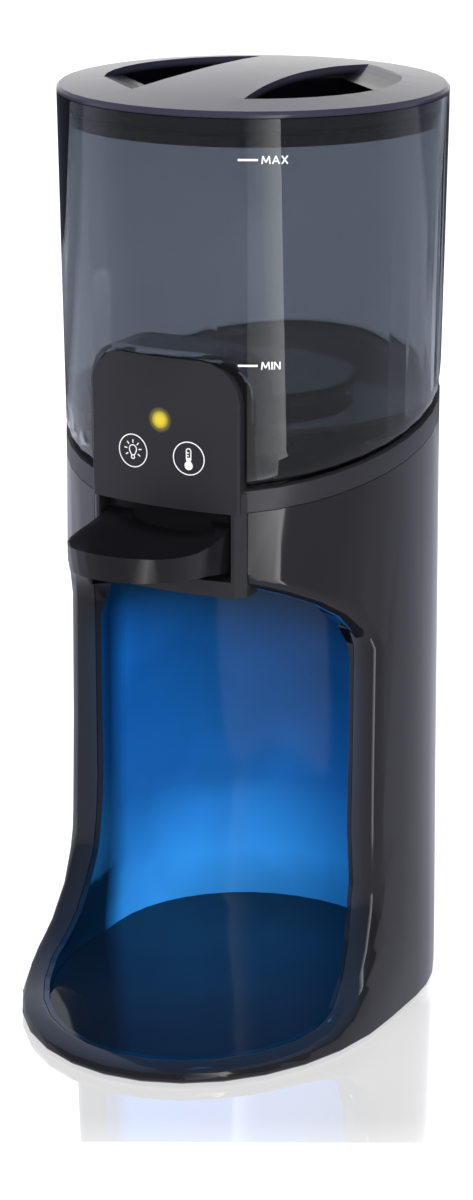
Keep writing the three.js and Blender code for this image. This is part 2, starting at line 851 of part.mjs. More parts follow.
const cutoutShare = 0.5385;
const cutoutReach = heatRingRadius * cutoutShare;
const cutoutSize = 8;
const cutoutHeight = 5;
function thermalCutout() {
  const half = cutoutSize / 2;
  return block(-half, half, cutoutReach - half, cutoutReach + half, ledgeTop - cutoutHeight, ledgeTop);
}

// Valve socket in the deck
const cupInner = 10.4;
const cupWall = 2;
const cupFloor = slopeAt(valveY, deckUnder) + deckPlate;
const cupDepth = 8;
const postHeight = 4.6;
const cupTop = cupFloor + cupDepth;
const postTop = cupFloor + postHeight;
const postRadius = 2.2;
const nippleRadius = 3.4;
const nippleBore = 2;
const nippleLength = 9;
const nippleOffset = 6;

function socketCup() {
  const lowest = slopeAt(valveY - cupInner - cupWall, deckUnder) - deckPlate;
  const cup = rod(cupInner + cupWall, lowest, cupTop, 28);
  const nipple = at(rod(nippleRadius, lowest - nippleLength, lowest + 1, 16), nippleOffset, 0);
  return at(cup.add(nipple), valveX, valveY);
}

function socketHoles() {
  const lowest = slopeAt(valveY - cupInner - cupWall, deckUnder) - deckPlate;
  const room = rod(cupInner, cupFloor, cupTop + overrun, 28);
  const drain = at(rod(nippleBore, lowest - nippleLength - 1, cupFloor + 1, 12), nippleOffset, 0);
  return at(room.add(drain), valveX, valveY);
}

function socketPost() {
  return at(rod(postRadius, cupFloor - 1, postTop, 16), valveX, valveY);
}

// Hinge ears, spring post and switch post under the deck
const earHalfWidth = headHalfWidth - shellWall;
const earRadius = 5;

function hingeEars() {
  return [-1, 1].map((side) => {
    const x0 = side > 0 ? armHalfGap + armWidth + slideGap : -earHalfWidth - lipWall;
    const x1 = side > 0 ? earHalfWidth + lipWall : -armHalfGap - armWidth - slideGap;
    const front = -hingeReach - earRadius;
    const rear = -hingeReach + earRadius;
    const top = slopeAt(front, deckUnder) + deckPlate / 2;
    const ear = sidePrism([[front, hingeHeight], [front + earRadius / 2, hingeHeight - earRadius],
      [rear - earRadius / 2, hingeHeight - earRadius], [rear, hingeHeight], [rear, top], [front, top]], x0, x1);
    const hole = sideways(rod(pinRadius + gap / 2, -overrun, overrun, 16));
    return ear.subtract(at(hole, (x0 + x1) / 2, -hingeReach, hingeHeight));
  });
}

const sideways = (solid) => solid.rotate([0, 90, 0]);

const tailPlace = hingeReach - tailReach;
const tailTop = hingeHeight + tailThickness / 2;
const springHeight = 9;
const springX = -20;
const springCoilRadius = 3.2;
const springWire = 0.5;
const springTurns = 4;
const switchX = 20;
const buttonHalfWidth = 1.5;
const buttonHalfDepth = 1.2;
const buttonHeight = 1.6;
const buttonTravel = 0.8;
const switchHeight = 10;
const switchWidth = 6.4;
const switchLength = 16;

function springPost() {
  const seat = tailTop + springHeight + 2 * gap;
  const top = slopeAt(-tailPlace - springCoilRadius, deckUnder) + deckPlate / 2;
  return at(rod(springCoilRadius + 1, seat, top, 16), springX, -tailPlace);
}

function switchPost() {
  const seat = tailTop + buttonHeight + switchHeight + 2 * gap;
  const top = slopeAt(-tailPlace - switchWidth, deckUnder) + deckPlate / 2;
  const half = switchWidth / 2;
  return block(switchX - half, switchX + half, -tailPlace - half, -tailPlace + half, seat, top);
}

// Main board, hung from the deck
const boardSideInset = 34.4;
const boardSetback = 20;
const boardRearInset = 20.4;
const boardDrop = 4;
const boardHalfWidth = columnTopRadius - boardSideInset;
const boardFront = boardSetback - solenoidReach;
const boardRear = columnTopRadius - boardRearInset;
const boardTop = headTop - boardDrop;
const boardThickness = 1.6;
const boardHoleInset = 4;
const boardPostRadius = 3.2;
const boardScrewLength = 8;
const relayLength = 18;
const relayWidth = 16;
const relayHeight = 14;
const capacitorRadius = 5;
const capacitorHeight = 16;
const boardPlaces = [boardFront + boardHoleInset, boardRear - boardHoleInset].flatMap((y) => (
  [-1, 1].map((side) => [side * (boardHalfWidth - boardHoleInset), y])));

function boardPosts() {
  return boardPlaces.map(([x, y]) => {
    const top = slopeAt(y, deckUnder) + deckPlate / 2;
    return at(rod(boardPostRadius, boardTop + gap, top, 12), x, y);
  });
}

function boardPostHoles() {
  return boardPlaces.map(([x, y]) => {
    const high = boardTop + boardScrewLength + gap;
    return at(rod(screwShank + gap, boardTop, high, 10), x, y);
  });
}

function mainBoard() {
  const low = boardTop - boardThickness;
  const core = low + boardThickness / 2;
  const mid = (boardFront + boardRear) / 2;
  let board = block(-boardHalfWidth, boardHalfWidth, boardFront, boardRear, low, boardTop);
  boardPlaces.forEach(([x, y]) => {
    board = board.subtract(at(rod(screwShank + gap, low - overrun, boardTop + overrun, 10), x, y));
  });
  const relay = block(-relayWidth, 0, mid - relayLength / 2, mid + relayLength / 2, low - relayHeight, core);
  const capacitor = at(rod(capacitorRadius, low - capacitorHeight, core, 14), relayWidth, mid);
  return board.add(relay).add(capacitor);
}

// Status light, touch board and touch pads behind the panel
const statusDrop = 25;
const statusHeight = towerTop - statusDrop;
const statusRadius = 3.4;
const padDrop = 14;
const padHeight = statusHeight - padDrop;
const padSpacing = 25;
const padRadius = 5.5;
const touchBoardInset = 7.5;
const touchBoardReach = faceReach - touchBoardInset;
const touchBoardThickness = 1.2;
const touchBoardHalfWidth = 24;
const touchLowMargin = 9;
const touchHighMargin = 11;
const touchBoardLow = padHeight - touchLowMargin;
const touchBoardHigh = statusHeight + touchHighMargin;

const forward = (solid) => solid.rotate([90, 0, 0]);

function statusHole() {
  return at(forward(rod(statusRadius + gap / 2, 0, overrun, 16)), 0, -faceReach + overrun / 2, statusHeight);
}

function statusLens() {
  const depth = faceReach - touchBoardReach - gap;
  return at(forward(rod(statusRadius, 0, depth, 16)), 0, -touchBoardReach - gap, statusHeight);
}

function touchBoard() {
  return block(-touchBoardHalfWidth, touchBoardHalfWidth, -touchBoardReach, -touchBoardReach + touchBoardThickness,
    touchBoardLow, touchBoardHigh);
}

function touchPad(side) {
  const x = (side * padSpacing) / 2;
  const reach = -faceDepth(padSpacing / 2 + padRadius) - towerWall - gap;
  const depth = reach - touchBoardReach - gap;
  return at(forward(rod(padRadius, 0, depth, 16)), x, -touchBoardReach - gap, padHeight);
}

// Tank: tapered wall, level floor with a raised round, a pocket round the tower.

function tankWallForm(inset, low) {
  const radiusAt = (z) => lerp(tankFootRadius, tankTopRadius, clamp((z - deckSeam) / (tankTop - deckSeam), 0, 1)) - inset;
  return turned([[0, low], [radiusAt(deckSeam), low], [radiusAt(deckSeam), deckSeam], [radiusAt(tankTop), tankTop],
    [radiusAt(tankTop), tankTop + inset * overrun], [0, tankTop + inset * overrun]]);
}

function tankFootForm(inset, steps) {
  const seat = deckSeam - deckRecess + gap - inset;
  const skirtRadius = columnTopRadius - collarWall - gap - inset;
  const rings = [slopedRing(skirtRadius, seat)];
  rings.push(slopedRing(skirtRadius, deckSeam + gap));
  const edge = columnTopRadius - skirtRadius - inset;
  for (let i = 0; i <= steps; i += 1) {
    const turn = (Math.PI / 2) * (i / steps);
    const radius = skirtRadius + edge * Math.sin(turn) + gap / 10;
    rings.push(slopedRing(radius, deckSeam + 2 * gap + tankEdgeRound * (1 - Math.cos(turn))));
  }
  rings.push(slopedRing(tankTopRadius + gap - inset, deckSeam + tankEdgeRound + 2 * overrun));
  rings.push(slopedRing(tankTopRadius + gap - inset, tankTop + 3 * overrun));
  return loft(rings);
}

function pocketForm(grow) {
  const reach = -towerRear + slideGap + grow;
  return frontPrism(towerOutline(slideGap + grow), -faceReach - overrun, reach);
}

function waterTank() {
  const outer = tankWallForm(0, headBottom).intersect(tankFootForm(0, 3));
  const aboveSlope = loft([slopedRing(tankTopRadius, deckSeam + tankWall), slopedRing(tankTopRadius, 2 * tankTop)]);
  const room = tankWallForm(tankWall, tankFloor).intersect(aboveSlope);
  const belowSlope = loft([slopedRing(tankTopRadius, headBottom), slopedRing(tankTopRadius, deckSeam)]);
  const belowFloor = rod(tankTopRadius, headBottom, tankFloor - tankWall, ringSteps);
  const under = tankFootForm(tankWall, 2).intersect(belowFloor.add(belowSlope));
  let tank = outer.subtract(room.subtract(pocketForm(tankWall))).subtract(under.subtract(pocketForm(tankWall)));
  tank = tank.subtract(pocketForm(0));
  const plateau = rod(plateauRadius, tankFloor - tankWall, tankFloor + plateauRise, 36);
  const hollow = rod(plateauRadius - tankWall, headBottom, tankFloor - tankWall + plateauRise, 36);
  tank = tank.add(plateau.intersect(outer)).subtract(hollow);
  return tank.subtract(at(rod(valveNeckRadius + gap, headBottom, tankFloor + tankWall, 20), valveX, valveY));
}

// Tank valve
const webThickness = 1.4;
const valveShroud = 1;
const valveLow = postTop - valveShroud;
const stemFoot = postTop + gap;
const valveTop = tankFloor + valveFlange + gap;
const webTop = valveTop - valveSeatDepth;
const stemCollar = 3.4;
const collarThickness = 1.4;
const discRadius = 5.6;
const discThickness = 1.6;
const washerThickness = 1;
const ringLevel = valveLow + 2 * orRadius;

function valveBody() {
  const under = tankFloor - tankWall - gap;
  let body = turned([[0, valveLow], [valveBodyRadius, valveLow], [valveBodyRadius, under], [valveNeckRadius, under],
    [valveNeckRadius, tankFloor + gap], [valveFlangeRadius, tankFloor + gap], [valveFlangeRadius, valveTop],
    [0, valveTop]], 20);
  body = body.subtract(rod(valveBore, valveLow - overrun, webTop - webThickness, 20));
  body = body.subtract(rod(valveSeatBore, webTop, valveTop + overrun, 16));
  body = body.subtract(rod(stemRadius + gap, valveLow, valveTop, 12));
  for (let i = 0; i < 4; i += 1) {
    const [x, y] = around(90 * i, flowHoleOffset);
    body = body.subtract(at(rod(flowHoleRadius, valveLow, valveTop, 8), x, y));
  }
  const grooveHalf = orRadius + gap / 3;
  const groove = washer(2 * valveBodyRadius, orReach - grooveHalf, ringLevel - grooveHalf, ringLevel + grooveHalf, 20);
  return at(body.subtract(groove), valveX, valveY);
}

function valvePlunger() {
  const discLow = valveTop + valveLift + washerThickness;
  const stem = rod(stemRadius, stemFoot, discLow + discThickness / 2, 12);
  const collar = rod(stemCollar, stemFoot, stemFoot + collarThickness, 16);
  const disc = rod(discRadius, discLow, discLow + discThickness, 20);
  return at(stem.add(collar).add(disc), valveX, valveY);
}

function valveWasher() {
  const low = valveTop + valveLift + gap / 3;
  const high = valveTop + valveLift + washerThickness - gap / 3;
  return at(washer(discRadius, stemRadius + gap / 3, low, high, 20), valveX, valveY);
}

function valveSpring() {
  const low = stemFoot + collarThickness + gap;
  const high = webTop - webThickness - gap;
  return at(coil(valveCoilRadius, valveWire, low, high, springTurns), valveX, valveY);
}

function valveRing() {
  return at(ringOf(orReach, orRadius, ringLevel, 20, 6), valveX, valveY);
}

// A coil spring as one helix of round wire between two levels.
function coil(radius, wire, low, high, turns) {
  class Helix extends THREE.Curve {
    getPoint(t, target = new THREE.Vector3()) {
      const turn = 2 * Math.PI * turns * t;
      return target.set(radius * Math.cos(turn), radius * Math.sin(turn), lerp(low + wire, high - wire, t));
    }
  }
  const section = new THREE.Shape(circlePoints(wire, 4));
  const geometry = new THREE.ExtrudeGeometry(section, { steps: turns * 6, extrudePath: new Helix() });
  return solidFrom(geometry);
}

// Lid: a domed plate with two crescent finger wells, alike under a half turn, and a skirt.

const domeAt = (r) => lidEdgeTop + lidCrown * (1 - (r / tankTopRadius) ** 2);

function domeProfile(drop, reach) {
  const points = [];
  const steps = 4;
  for (let i = 0; i <= steps; i += 1) {
    const r = (reach * i) / steps;
    points.push([r, domeAt(r) - drop]);
  }
  return points;
}

function crescent(grow) {
  const outer = wellRadius + grow;
  const bow = barBowRadius + grow;
  const centre = barHalfWidth + barBowRadius;
  const inner = (y) => centre - Math.sqrt(bow ** 2 - y ** 2);
  let tip = 0;
  while (inner(tip) ** 2 + tip ** 2 < outer ** 2) {
    tip += 0.1;
  }
  const points = [];
  const steps = 14;
  const end = Math.atan2(tip, inner(tip));
  for (let i = 0; i <= steps; i += 1) {
    const turn = lerp(-end, end, i / steps);
    points.push([outer * Math.cos(turn), outer * Math.sin(turn)]);
  }
  for (let i = 1; i < steps; i += 1) {
    const y = lerp(tip, -tip, i / steps);
    points.push([inner(y), y]);
  }
  return points;
}

// The scooped ramp that leads fingers from the rim of a well down under the bar.
function rampForm(grow) {
  const surface = domeAt(wellRadius) + 2;
  const rise = surface - (domeAt(rampOffset) - rampDrop);
  const run = wellRadius - rampOffset;
  const points = [[rampOffset + grow, wellFloor - overrun]];
  const steps = 6;
  for (let i = 0; i <= steps; i += 1) {
    const share = i / steps;
    points.push([rampOffset + grow + run * share * 1.1, surface - rise * (1 - share ** 1.6) - grow]);
  }
  points.push([rampOffset + 2 * run + overrun, surface + 1 - grow], [rampOffset + 2 * run + overrun, wellFloor - overrun]);
  const wedge = sidePrism(points, -tankTopRadius, tankTopRadius);
  return wedge.rotate([0, 0, rampAngle - 180]);
}

function wellForm(grow, low) {
  const raised = planPrism(crescent(grow), low, lidEdgeTop + overrun).subtract(rampForm(grow));
  return raised.add(raised.rotate([0, 0, 180]));
}

const skirtRadius = tankTopRadius - tankWall - slideGap;
const sealLevel = tankTop - sealDrop;
const sealReach = skirtRadius + slideGap - sealRadius - gap / 2;

function skirtProfile() {
  const bottom = tankTop - skirtDepth;
  const half = sealRadius + gap / 3;
  const groove = sealReach - half;
  return [[skirtRadius, lidEdgeTop - lidEdge], [skirtRadius, sealLevel + half], [groove, sealLevel + half],
    [groove, sealLevel - half], [skirtRadius, sealLevel - half], [skirtRadius, bottom],
    [skirtRadius - lidWall, bottom]];
}

function tankLid() {
  const edge = [[tankTopRadius, lidEdgeTop - lidEdgeRound], [tankTopRadius, lidEdgeTop - lidEdge]];
  const top = [...domeProfile(0, tankTopRadius - lidEdgeRound), ...edge];
  const innerReach = skirtRadius - lidWall;
  const inner = [innerReach, innerReach / 2, 0].map((r) => [r, domeAt(r) - lidWall]);
  const plate = turned([...top, ...skirtProfile(), ...inner]);
  const bottom = wellFloor - overrun;
  const dome = domeProfile(lidWall / 2, innerReach).reverse();
  const limit = turned([[0, bottom], [innerReach, bottom], ...dome]);
  const cups = wellForm(wellWall, wellFloor - wellWall).intersect(limit);
  return plate.add(cups).subtract(wellForm(0, wellFloor));
}

function lidSeal() {
  return ringOf(sealReach, sealRadius, sealLevel, ringSteps, 4);
}

// Dispensing paddle: a D-shaped scoop with a hollow underside, two arms, barrels and tails.

function paddleOutline(inset) {
  const half = paddleHalfWidth - inset;
  const nose = paddleReach - paddleShoulder - inset;
  const points = [];
  const steps = 16;
  for (let i = 0; i <= steps; i += 1) {
    const turn = Math.PI * (i / steps);
    points.push([-half * Math.cos(turn), -paddleShoulder - nose * Math.sin(turn)]);
  }
  points.push([half, -paddleRear - inset], [-half, -paddleRear - inset]);
  return points;
}

function paddleLoft(inset, draft, low, high) {
  const foot = paddleOutline(inset + draft).map(([x, y]) => vec(x, y, low));
  const crest = paddleOutline(inset).map(([x, y]) => vec(x, y, high));
  return loft([foot, crest]);
}

const paddleTopAt = (reach) => paddleCrest + (reach - paddleCrestReach) ** 2 / (2 * paddleBowRadius);

function paddleSide(low, drop) {
  const points = [];
  const steps = 6;
  for (let i = 0; i <= steps; i += 1) {
    const reach = lerp(paddleRear - 1, paddleReach + 1, i / steps);
    points.push([-reach, paddleTopAt(reach) - drop]);
  }
  points.push([-paddleReach - 1, low ?? paddleLowFront]);
  if (low === undefined) {
    points.push([-paddleShoulder, paddleLowShoulder]);
  }
  points.push([-paddleRear + 1, low ?? paddleLowRear]);
  return sidePrism(points, -paddleHalfWidth - 1, paddleHalfWidth + 1);
}

function dispensePaddle() {
  const low = paddleLowRear - overrun;
  const form = paddleLoft(0, paddleDraft, low + overrun, paddleSlotTop).intersect(paddleSide(undefined, 0));
  const dish = new THREE.SphereGeometry(1, 20, 12).rotateX(Math.PI / 2);
  dish.scale(dishHalfWidth, dishHalfLength, dishDepth);
  dish.translate(0, -dishReach, dishLevel);
  const hollow = paddleLoft(paddleWall, paddleDraft, paddleLowRear, paddleSlotTop)
    .intersect(paddleSide(low, dishDepth + paddleWall));
  let paddle = form.subtract(solidFrom(dish)).subtract(hollow);
  const bore = at(sideways(rod(pinRadius + gap, -paddleHalfWidth, paddleHalfWidth, 16)), 0, -hingeReach, hingeHeight);
  const back = block(-paddleHalfWidth, paddleHalfWidth, -paddleRear, -paddleRear + paddleWall, hingeHeight,
    paddleSlotTop - backDrop);
  paddle = paddle.add(back);
  [-1, 1].forEach((side) => {
    paddle = paddle.add(paddleArm(side));
  });
  return paddle.subtract(bore);
}

function paddleArm(side) {
  const x0 = side > 0 ? armHalfGap : -armHalfGap - armWidth;
  const x1 = x0 + armWidth;
  const mid = (x0 + x1) / 2;
  const half = tailThickness / 2;
  const front = -paddleRear - paddleWall / 2;
  const arm = sidePrism([[front, hingeHeight - barrelRadius], [-hingeReach, hingeHeight - barrelRadius],
    [-hingeReach, hingeHeight + barrelRadius], [front, hingeHeight + barrelRadius / 2]], x0, x1);
  const barrel = at(sideways(rod(barrelRadius, -armWidth / 2, armWidth / 2, 20)), mid, -hingeReach, hingeHeight);
  const rear = -tailPlace + tailPadHalf;
  const tail = block(x0, x1, -hingeReach, rear, hingeHeight - half, hingeHeight + half);
  const seatX = side > 0 ? switchX : springX;
  const left = Math.min(seatX - tailPadHalf, x0);
  const right = Math.max(seatX + tailPadHalf, x1);
  const pad = block(left, right, rear - 2 * tailPadHalf, rear, hingeHeight - half, hingeHeight + half);
  return arm.add(barrel).add(tail).add(pad);
}

function paddlePin(side) {
  const inner = armHalfGap - slideGap;
  const outer = earHalfWidth - gap;
  const pin = sideways(rod(pinRadius, inner, outer, 16));
  return side > 0 ? at(pin, 0, -hingeReach, hingeHeight) : at(pin.rotate([0, 0, 180]), 0, -hingeReach, hingeHeight);
}

function returnSpring() {
  return at(coil(springCoilRadius, springWire, tailTop + gap, tailTop + gap + springHeight, springTurns), springX, -tailPlace);
}

function switchButton() {
  const low = tailTop + gap;
  const high = low + buttonHeight + buttonTravel;
  return block(switchX - buttonHalfWidth, switchX + buttonHalfWidth, -tailPlace - buttonHalfDepth,
    -tailPlace + buttonHalfDepth, low, high);
}

function microSwitch() {
  const low = tailTop + gap + buttonHeight;
  const half = switchWidth / 2;
  const body = block(switchX - switchLength / 2, switchX + switchLength / 2, -tailPlace - half, -tailPlace + half,
    low, low + switchHeight);
  const wide = buttonHalfWidth + gap;
  const deep = buttonHalfDepth + gap;
  const room = block(switchX - wide, switchX + wide, -tailPlace - deep, -tailPlace + deep, low - overrun,
    low + 2 * buttonTravel + gap);
  return body.subtract(room);
}

// Spout, solenoid valve, tubes and night light

const spoutChamfer = 1;
const spoutPlate = 2;
const spoutStep = 0.6;
function spoutNozzle() {
  const seat = bayCeiling + linerWall + gap;
  const neck = spoutRadius - spoutStep;
  const body = turned([[0, spoutTip], [spoutRadius - spoutChamfer, spoutTip], [spoutRadius, spoutTip + spoutChamfer],
    [spoutRadius, seat], [spoutFlange, seat], [spoutFlange, seat + spoutPlate], [neck, seat + spoutPlate],
    [neck, spoutTop], [0, spoutTop]], 16);
  return at(body.subtract(rod(spoutBore, spoutTip - overrun, spoutTop + overrun, 12)), 0, -spoutReach);
}

const solenoidBlock = 9;
const solenoidHeight = 12;
const coilHalf = 10;
const coilHeight = 16;
const portRadius = 3.2;
const portLength = 5;
const portWall = 1.2;
const solenoidHalfWidth = 10;
const coilCover = 1;
const coilCheek = 2;

function solenoidBody() {
  const half = solenoidBlock;
  const wide = solenoidHalfWidth;
  const y = -solenoidReach;
  const mid = solenoidFoot + solenoidHeight / 2;
  const body = block(-wide, wide, y - half, y + half, solenoidFoot, solenoidFoot + solenoidHeight);
  const outlet = at(forward(rod(portRadius, 0, half + portLength, 16)), 0, y, mid);
  const inlet = at(sideways(rod(portRadius, -wide - portLength, 0, 16)), 0, y, mid);
  const bore = at(forward(rod(portRadius - portWall, 0, half + portLength + gap, 12)), 0, y, mid)
    .add(at(sideways(rod(portRadius - portWall, -wide - portLength - gap, 0, 12)), 0, y, mid));
  return body.add(outlet).add(inlet).subtract(bore);
}

function solenoidCoil() {
  const low = solenoidFoot + solenoidHeight + gap;
  const y = -solenoidReach;
  const wide = coilHalf + coilCover;
  const deep = coilHalf - coilCheek;
  const frame = block(-coilHalf, coilHalf, y - coilHalf, y + coilHalf, low, low + coilHeight);
  return frame.add(block(-wide, wide, y - deep, y + deep, low + coilCheek, low + coilHeight - coilCheek));
}

const tubeOuter = 3.4;
const tubeInner = 2.2;
const tubeRise = 3;
const tubeBend = 6;
const tubeStraight = 5;
const tubeSideShare = 0.4;

function outletTube() {
  const start = spoutTop + gap;
  const mid = solenoidFoot + solenoidHeight / 2;
  const end = -solenoidReach - solenoidBlock - portLength - gap;
  return tube([[0, -spoutReach, start], [0, -spoutReach, start + tubeRise], [0, -spoutReach + tubeBend, mid - 2 * gap],
    [0, end - tubeStraight, mid], [0, end, mid]], tubeOuter, tubeInner, 8);
}

function inletTube() {
  const start = slopeAt(valveY - cupInner - cupWall, deckUnder) - deckPlate - nippleLength - gap;
  const x = valveX + nippleOffset;
  const mid = solenoidFoot + solenoidHeight / 2;
  const end = -solenoidHalfWidth - portLength - gap;
  const bendX = lerp(x, end, tubeSideShare);
  const bendY = (valveY - solenoidReach) / 2;
  return tube([[x, valveY, start], [x, valveY, start - tubeRise], [bendX, bendY, mid],
    [end - tubeBend, -solenoidReach, mid], [end, -solenoidReach, mid]], tubeOuter, tubeInner, 9);
}

const lensCrown = 1.2;
const lensShoulder = 0.9;
const lensCrownShare = 0.7;
const nightBoardThickness = 1.2;
const chipHalf = 2.5;
const chipHeight = 2.4;

function nightLens() {
  const seat = bayCeiling + linerWall + gap;
  const body = turned([[0, bayCeiling - lensCrown], [lightRadius * lensCrownShare, bayCeiling - lensShoulder],
    [lightRadius, bayCeiling], [lightRadius, seat], [lensFlange, seat], [lensFlange, seat + lensPlate],
    [0, seat + lensPlate]], 20);
  return at(body, 0, -lightReach);
}

function nightBoard() {
  const low = bayCeiling + linerWall + lensPlate + 2 * gap;
  const half = lensFlange;
  const board = block(-half, half, -lightReach - half, -lightReach + half, low, low + nightBoardThickness);
  return board.add(block(-chipHalf, chipHalf, -lightReach - chipHalf, -lightReach + chipHalf, low, low + chipHeight));
}

// Materials

const plastic = (color, roughness) => ({ color, roughness, metalness: 0 });
const metal = (color, roughness) => ({ color, roughness, metalness: 0.9 });
const finishes = {
  gloss: plastic('#17171c', 0.18),
  liner: plastic('#0b1a33', 0.12),
  floor: plastic('#090a0f', 0.08),
  panel: plastic('#2a2a31', 0.35),
  paddle: plastic('#232327', 0.4),
  lid: plastic('#615f6c', 0.32),
  smoke: { color: '#4d5866', roughness: 0.08, metalness: 0, transparent: true, opacity: 0.55 },
  rubber: plastic('#202022', 0.8),
  silicone: plastic('#c9c7c2', 0.5),
  inner: plastic('#b9b9b4', 0.55),
  steel: metal('#b4b6ba', 0.3),
  aluminium: metal('#c4c6c9', 0.35),
  board: plastic('#1d5a34', 0.5),
  amber: plastic('#f2d94a', 0.2),
  lens: plastic('#d8e6ff', 0.2),
};

const column = new THREE.Group();
const baseFront = baseStraight + baseNose;
column.position.y = (baseFront - columnFootRadius) / 2;

function place(name, solid, finish) {
  const raw = solid.getMesh();
  const geometry = new THREE.BufferGeometry();
  geometry.setAttribute('position', new THREE.BufferAttribute(raw.vertProperties, 3));
  geometry.setIndex(new THREE.BufferAttribute(raw.triVerts, 1));
  geometry.computeVertexNormals();
  const mesh = new THREE.Mesh(geometry, new THREE.MeshStandardMaterial(finishes[finish]));
  mesh.name = name;
  column.add(mesh);
}

place('body_shell', bodyShell(), 'gloss');
place('bay_liner', bayLiner(), 'liner');
place('bay_floor', bayFloor(), 'floor');
place('bottom_cover', bottomCover(), 'panel');
place('power_inlet', powerInlet(), 'rubber');
footPlaces.forEach(([x, y], i) => place(`foot_${i + 1}`, at(foot(), x, y), 'rubber'));
coverBossAngles.forEach((angle, i) => {
  const [x, y] = around(angle, bossOffset);
  place(`cover_screw_${i + 1}`, at(coverScrew(), x, y), 'steel');
});

place('top_cover', topCover(), 'panel');
coverPostAngles.forEach((angle, i) => {
  const [x, y] = around(angle, coverPostOffset);
  const screw = panScrew(ledgeHeight + screwGrip, screwHead, screwShank).rotate([180, 0, 0]);
  place(`top_screw_${i + 1}`, at(screw, x, y, ledgeSeat(y) - ledgeHeight - gap), 'steel');
});
place('heater_plate', heaterPlate(), 'aluminium');
place('heating_ring', heatingRing(), 'steel');
place('temperature_sensor', temperatureSensor(), 'steel');
place('thermal_cutout', thermalCutout(), 'inner');
place('status_lens', statusLens(), 'amber');
place('touch_board', touchBoard(), 'board');
place('touch_pad_light', touchPad(-1), 'steel');
place('touch_pad_heat', touchPad(1), 'steel');
place('main_board', mainBoard(), 'board');
boardPlaces.forEach(([x, y], i) => {
  const screw = panScrew(boardScrewLength, screwHead - gap, screwShank).rotate([180, 0, 0]);
  place(`board_screw_${i + 1}`, at(screw, x, y, boardTop - boardThickness - gap), 'steel');
});

place('dispense_paddle', dispensePaddle(), 'paddle');
place('paddle_pin_left', paddlePin(-1), 'steel');
place('paddle_pin_right', paddlePin(1), 'steel');
place('paddle_return_spring', returnSpring(), 'steel');
place('micro_switch', microSwitch(), 'inner');
place('micro_switch_button', switchButton(), 'rubber');
place('spout_nozzle', spoutNozzle(), 'inner');
place('solenoid_valve_body', solenoidBody(), 'inner');
place('solenoid_coil', solenoidCoil(), 'steel');
place('outlet_tube', outletTube(), 'silicone');
place('inlet_tube', inletTube(), 'silicone');
place('night_light_lens', nightLens(), 'lens');
place('night_light_board', nightBoard(), 'board');

place('water_tank', waterTank(), 'smoke');
place('tank_valve_body', valveBody(), 'inner');
place('tank_valve_plunger', valvePlunger(), 'inner');
place('tank_valve_washer', valveWasher(), 'rubber');
place('tank_valve_spring', valveSpring(), 'steel');
place('tank_valve_ring', valveRing(), 'rubber');
place('tank_lid', tankLid(), 'lid');
place('lid_seal', lidSeal(), 'rubber');

const bottleWarmer = new THREE.Group();
bottleWarmer.add(column);

export default bottleWarmer;
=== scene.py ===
"""Looks of the bottle warmer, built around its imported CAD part.

Lengths are in metres, in the part's own frame: +Z is up and the front is at -Y.
"""
import math

import bmesh
import bpy
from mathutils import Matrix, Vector


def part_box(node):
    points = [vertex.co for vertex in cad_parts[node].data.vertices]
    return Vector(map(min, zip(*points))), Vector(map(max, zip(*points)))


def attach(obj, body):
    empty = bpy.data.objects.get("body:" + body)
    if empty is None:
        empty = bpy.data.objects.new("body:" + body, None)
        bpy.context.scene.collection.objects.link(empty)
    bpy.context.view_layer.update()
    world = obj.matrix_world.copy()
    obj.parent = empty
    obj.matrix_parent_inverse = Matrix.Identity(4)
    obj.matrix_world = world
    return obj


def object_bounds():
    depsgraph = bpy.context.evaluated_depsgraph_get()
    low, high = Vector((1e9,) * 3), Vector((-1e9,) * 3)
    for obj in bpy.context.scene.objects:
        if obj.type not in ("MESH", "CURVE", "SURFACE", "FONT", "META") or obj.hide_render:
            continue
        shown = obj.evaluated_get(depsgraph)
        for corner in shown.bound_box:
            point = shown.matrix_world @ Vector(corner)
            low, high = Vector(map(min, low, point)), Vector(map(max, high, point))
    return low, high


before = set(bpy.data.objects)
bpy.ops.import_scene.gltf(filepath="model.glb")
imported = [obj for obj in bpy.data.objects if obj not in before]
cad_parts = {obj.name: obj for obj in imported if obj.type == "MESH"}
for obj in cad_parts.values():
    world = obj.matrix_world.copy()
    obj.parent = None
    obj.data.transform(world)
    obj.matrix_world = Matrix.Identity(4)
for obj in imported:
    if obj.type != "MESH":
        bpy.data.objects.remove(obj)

cad_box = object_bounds()

# Places that the pieces share, from the frame
COVER_LOW, COVER_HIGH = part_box("top_cover")
TANK_LOW, TANK_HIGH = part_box("water_tank")
LENS_LOW, LENS_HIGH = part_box("status_lens")
PAD_LOW, PAD_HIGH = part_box("touch_pad_heat")
LID_TOP = cad_box[1][2]
AXIS = Vector((0.0, (TANK_LOW.y + TANK_HIGH.y) / 2, 0.0))
LENS_CENTRE = Vector((0.0, LENS_LOW.y, (LENS_LOW.z + LENS_HIGH.z) / 2))

# Sizes of the CAD part that the frame doesn't hold
PANEL_BOW_RADIUS = 0.157
TANK_SEAM = 0.2506
LID_DOME_RADIUS = 0.6084

# Camera, measured from the column's axis
CAMERA_TURN = math.radians(28.4)
CAMERA_REACH = 1.2
CAMERA_HEIGHT = 0.556
CAMERA_PITCH = math.radians(18)
CAMERA_YAW = math.radians(0.313)
CAMERA_CLIP = (0.05, 20)
IMAGE_HEIGHT = 1200
FOCAL_PIXELS = 3019
SENSOR = 36.0
TOWARDS_CAMERA = Vector((math.sin(CAMERA_TURN), -math.cos(CAMERA_TURN), 0.0))


# Objects and shader nodes

def added(name, data):
    """A new object in the scene."""
    thing = bpy.data.objects.new(name, data)
    bpy.context.scene.collection.objects.link(thing)
    return thing


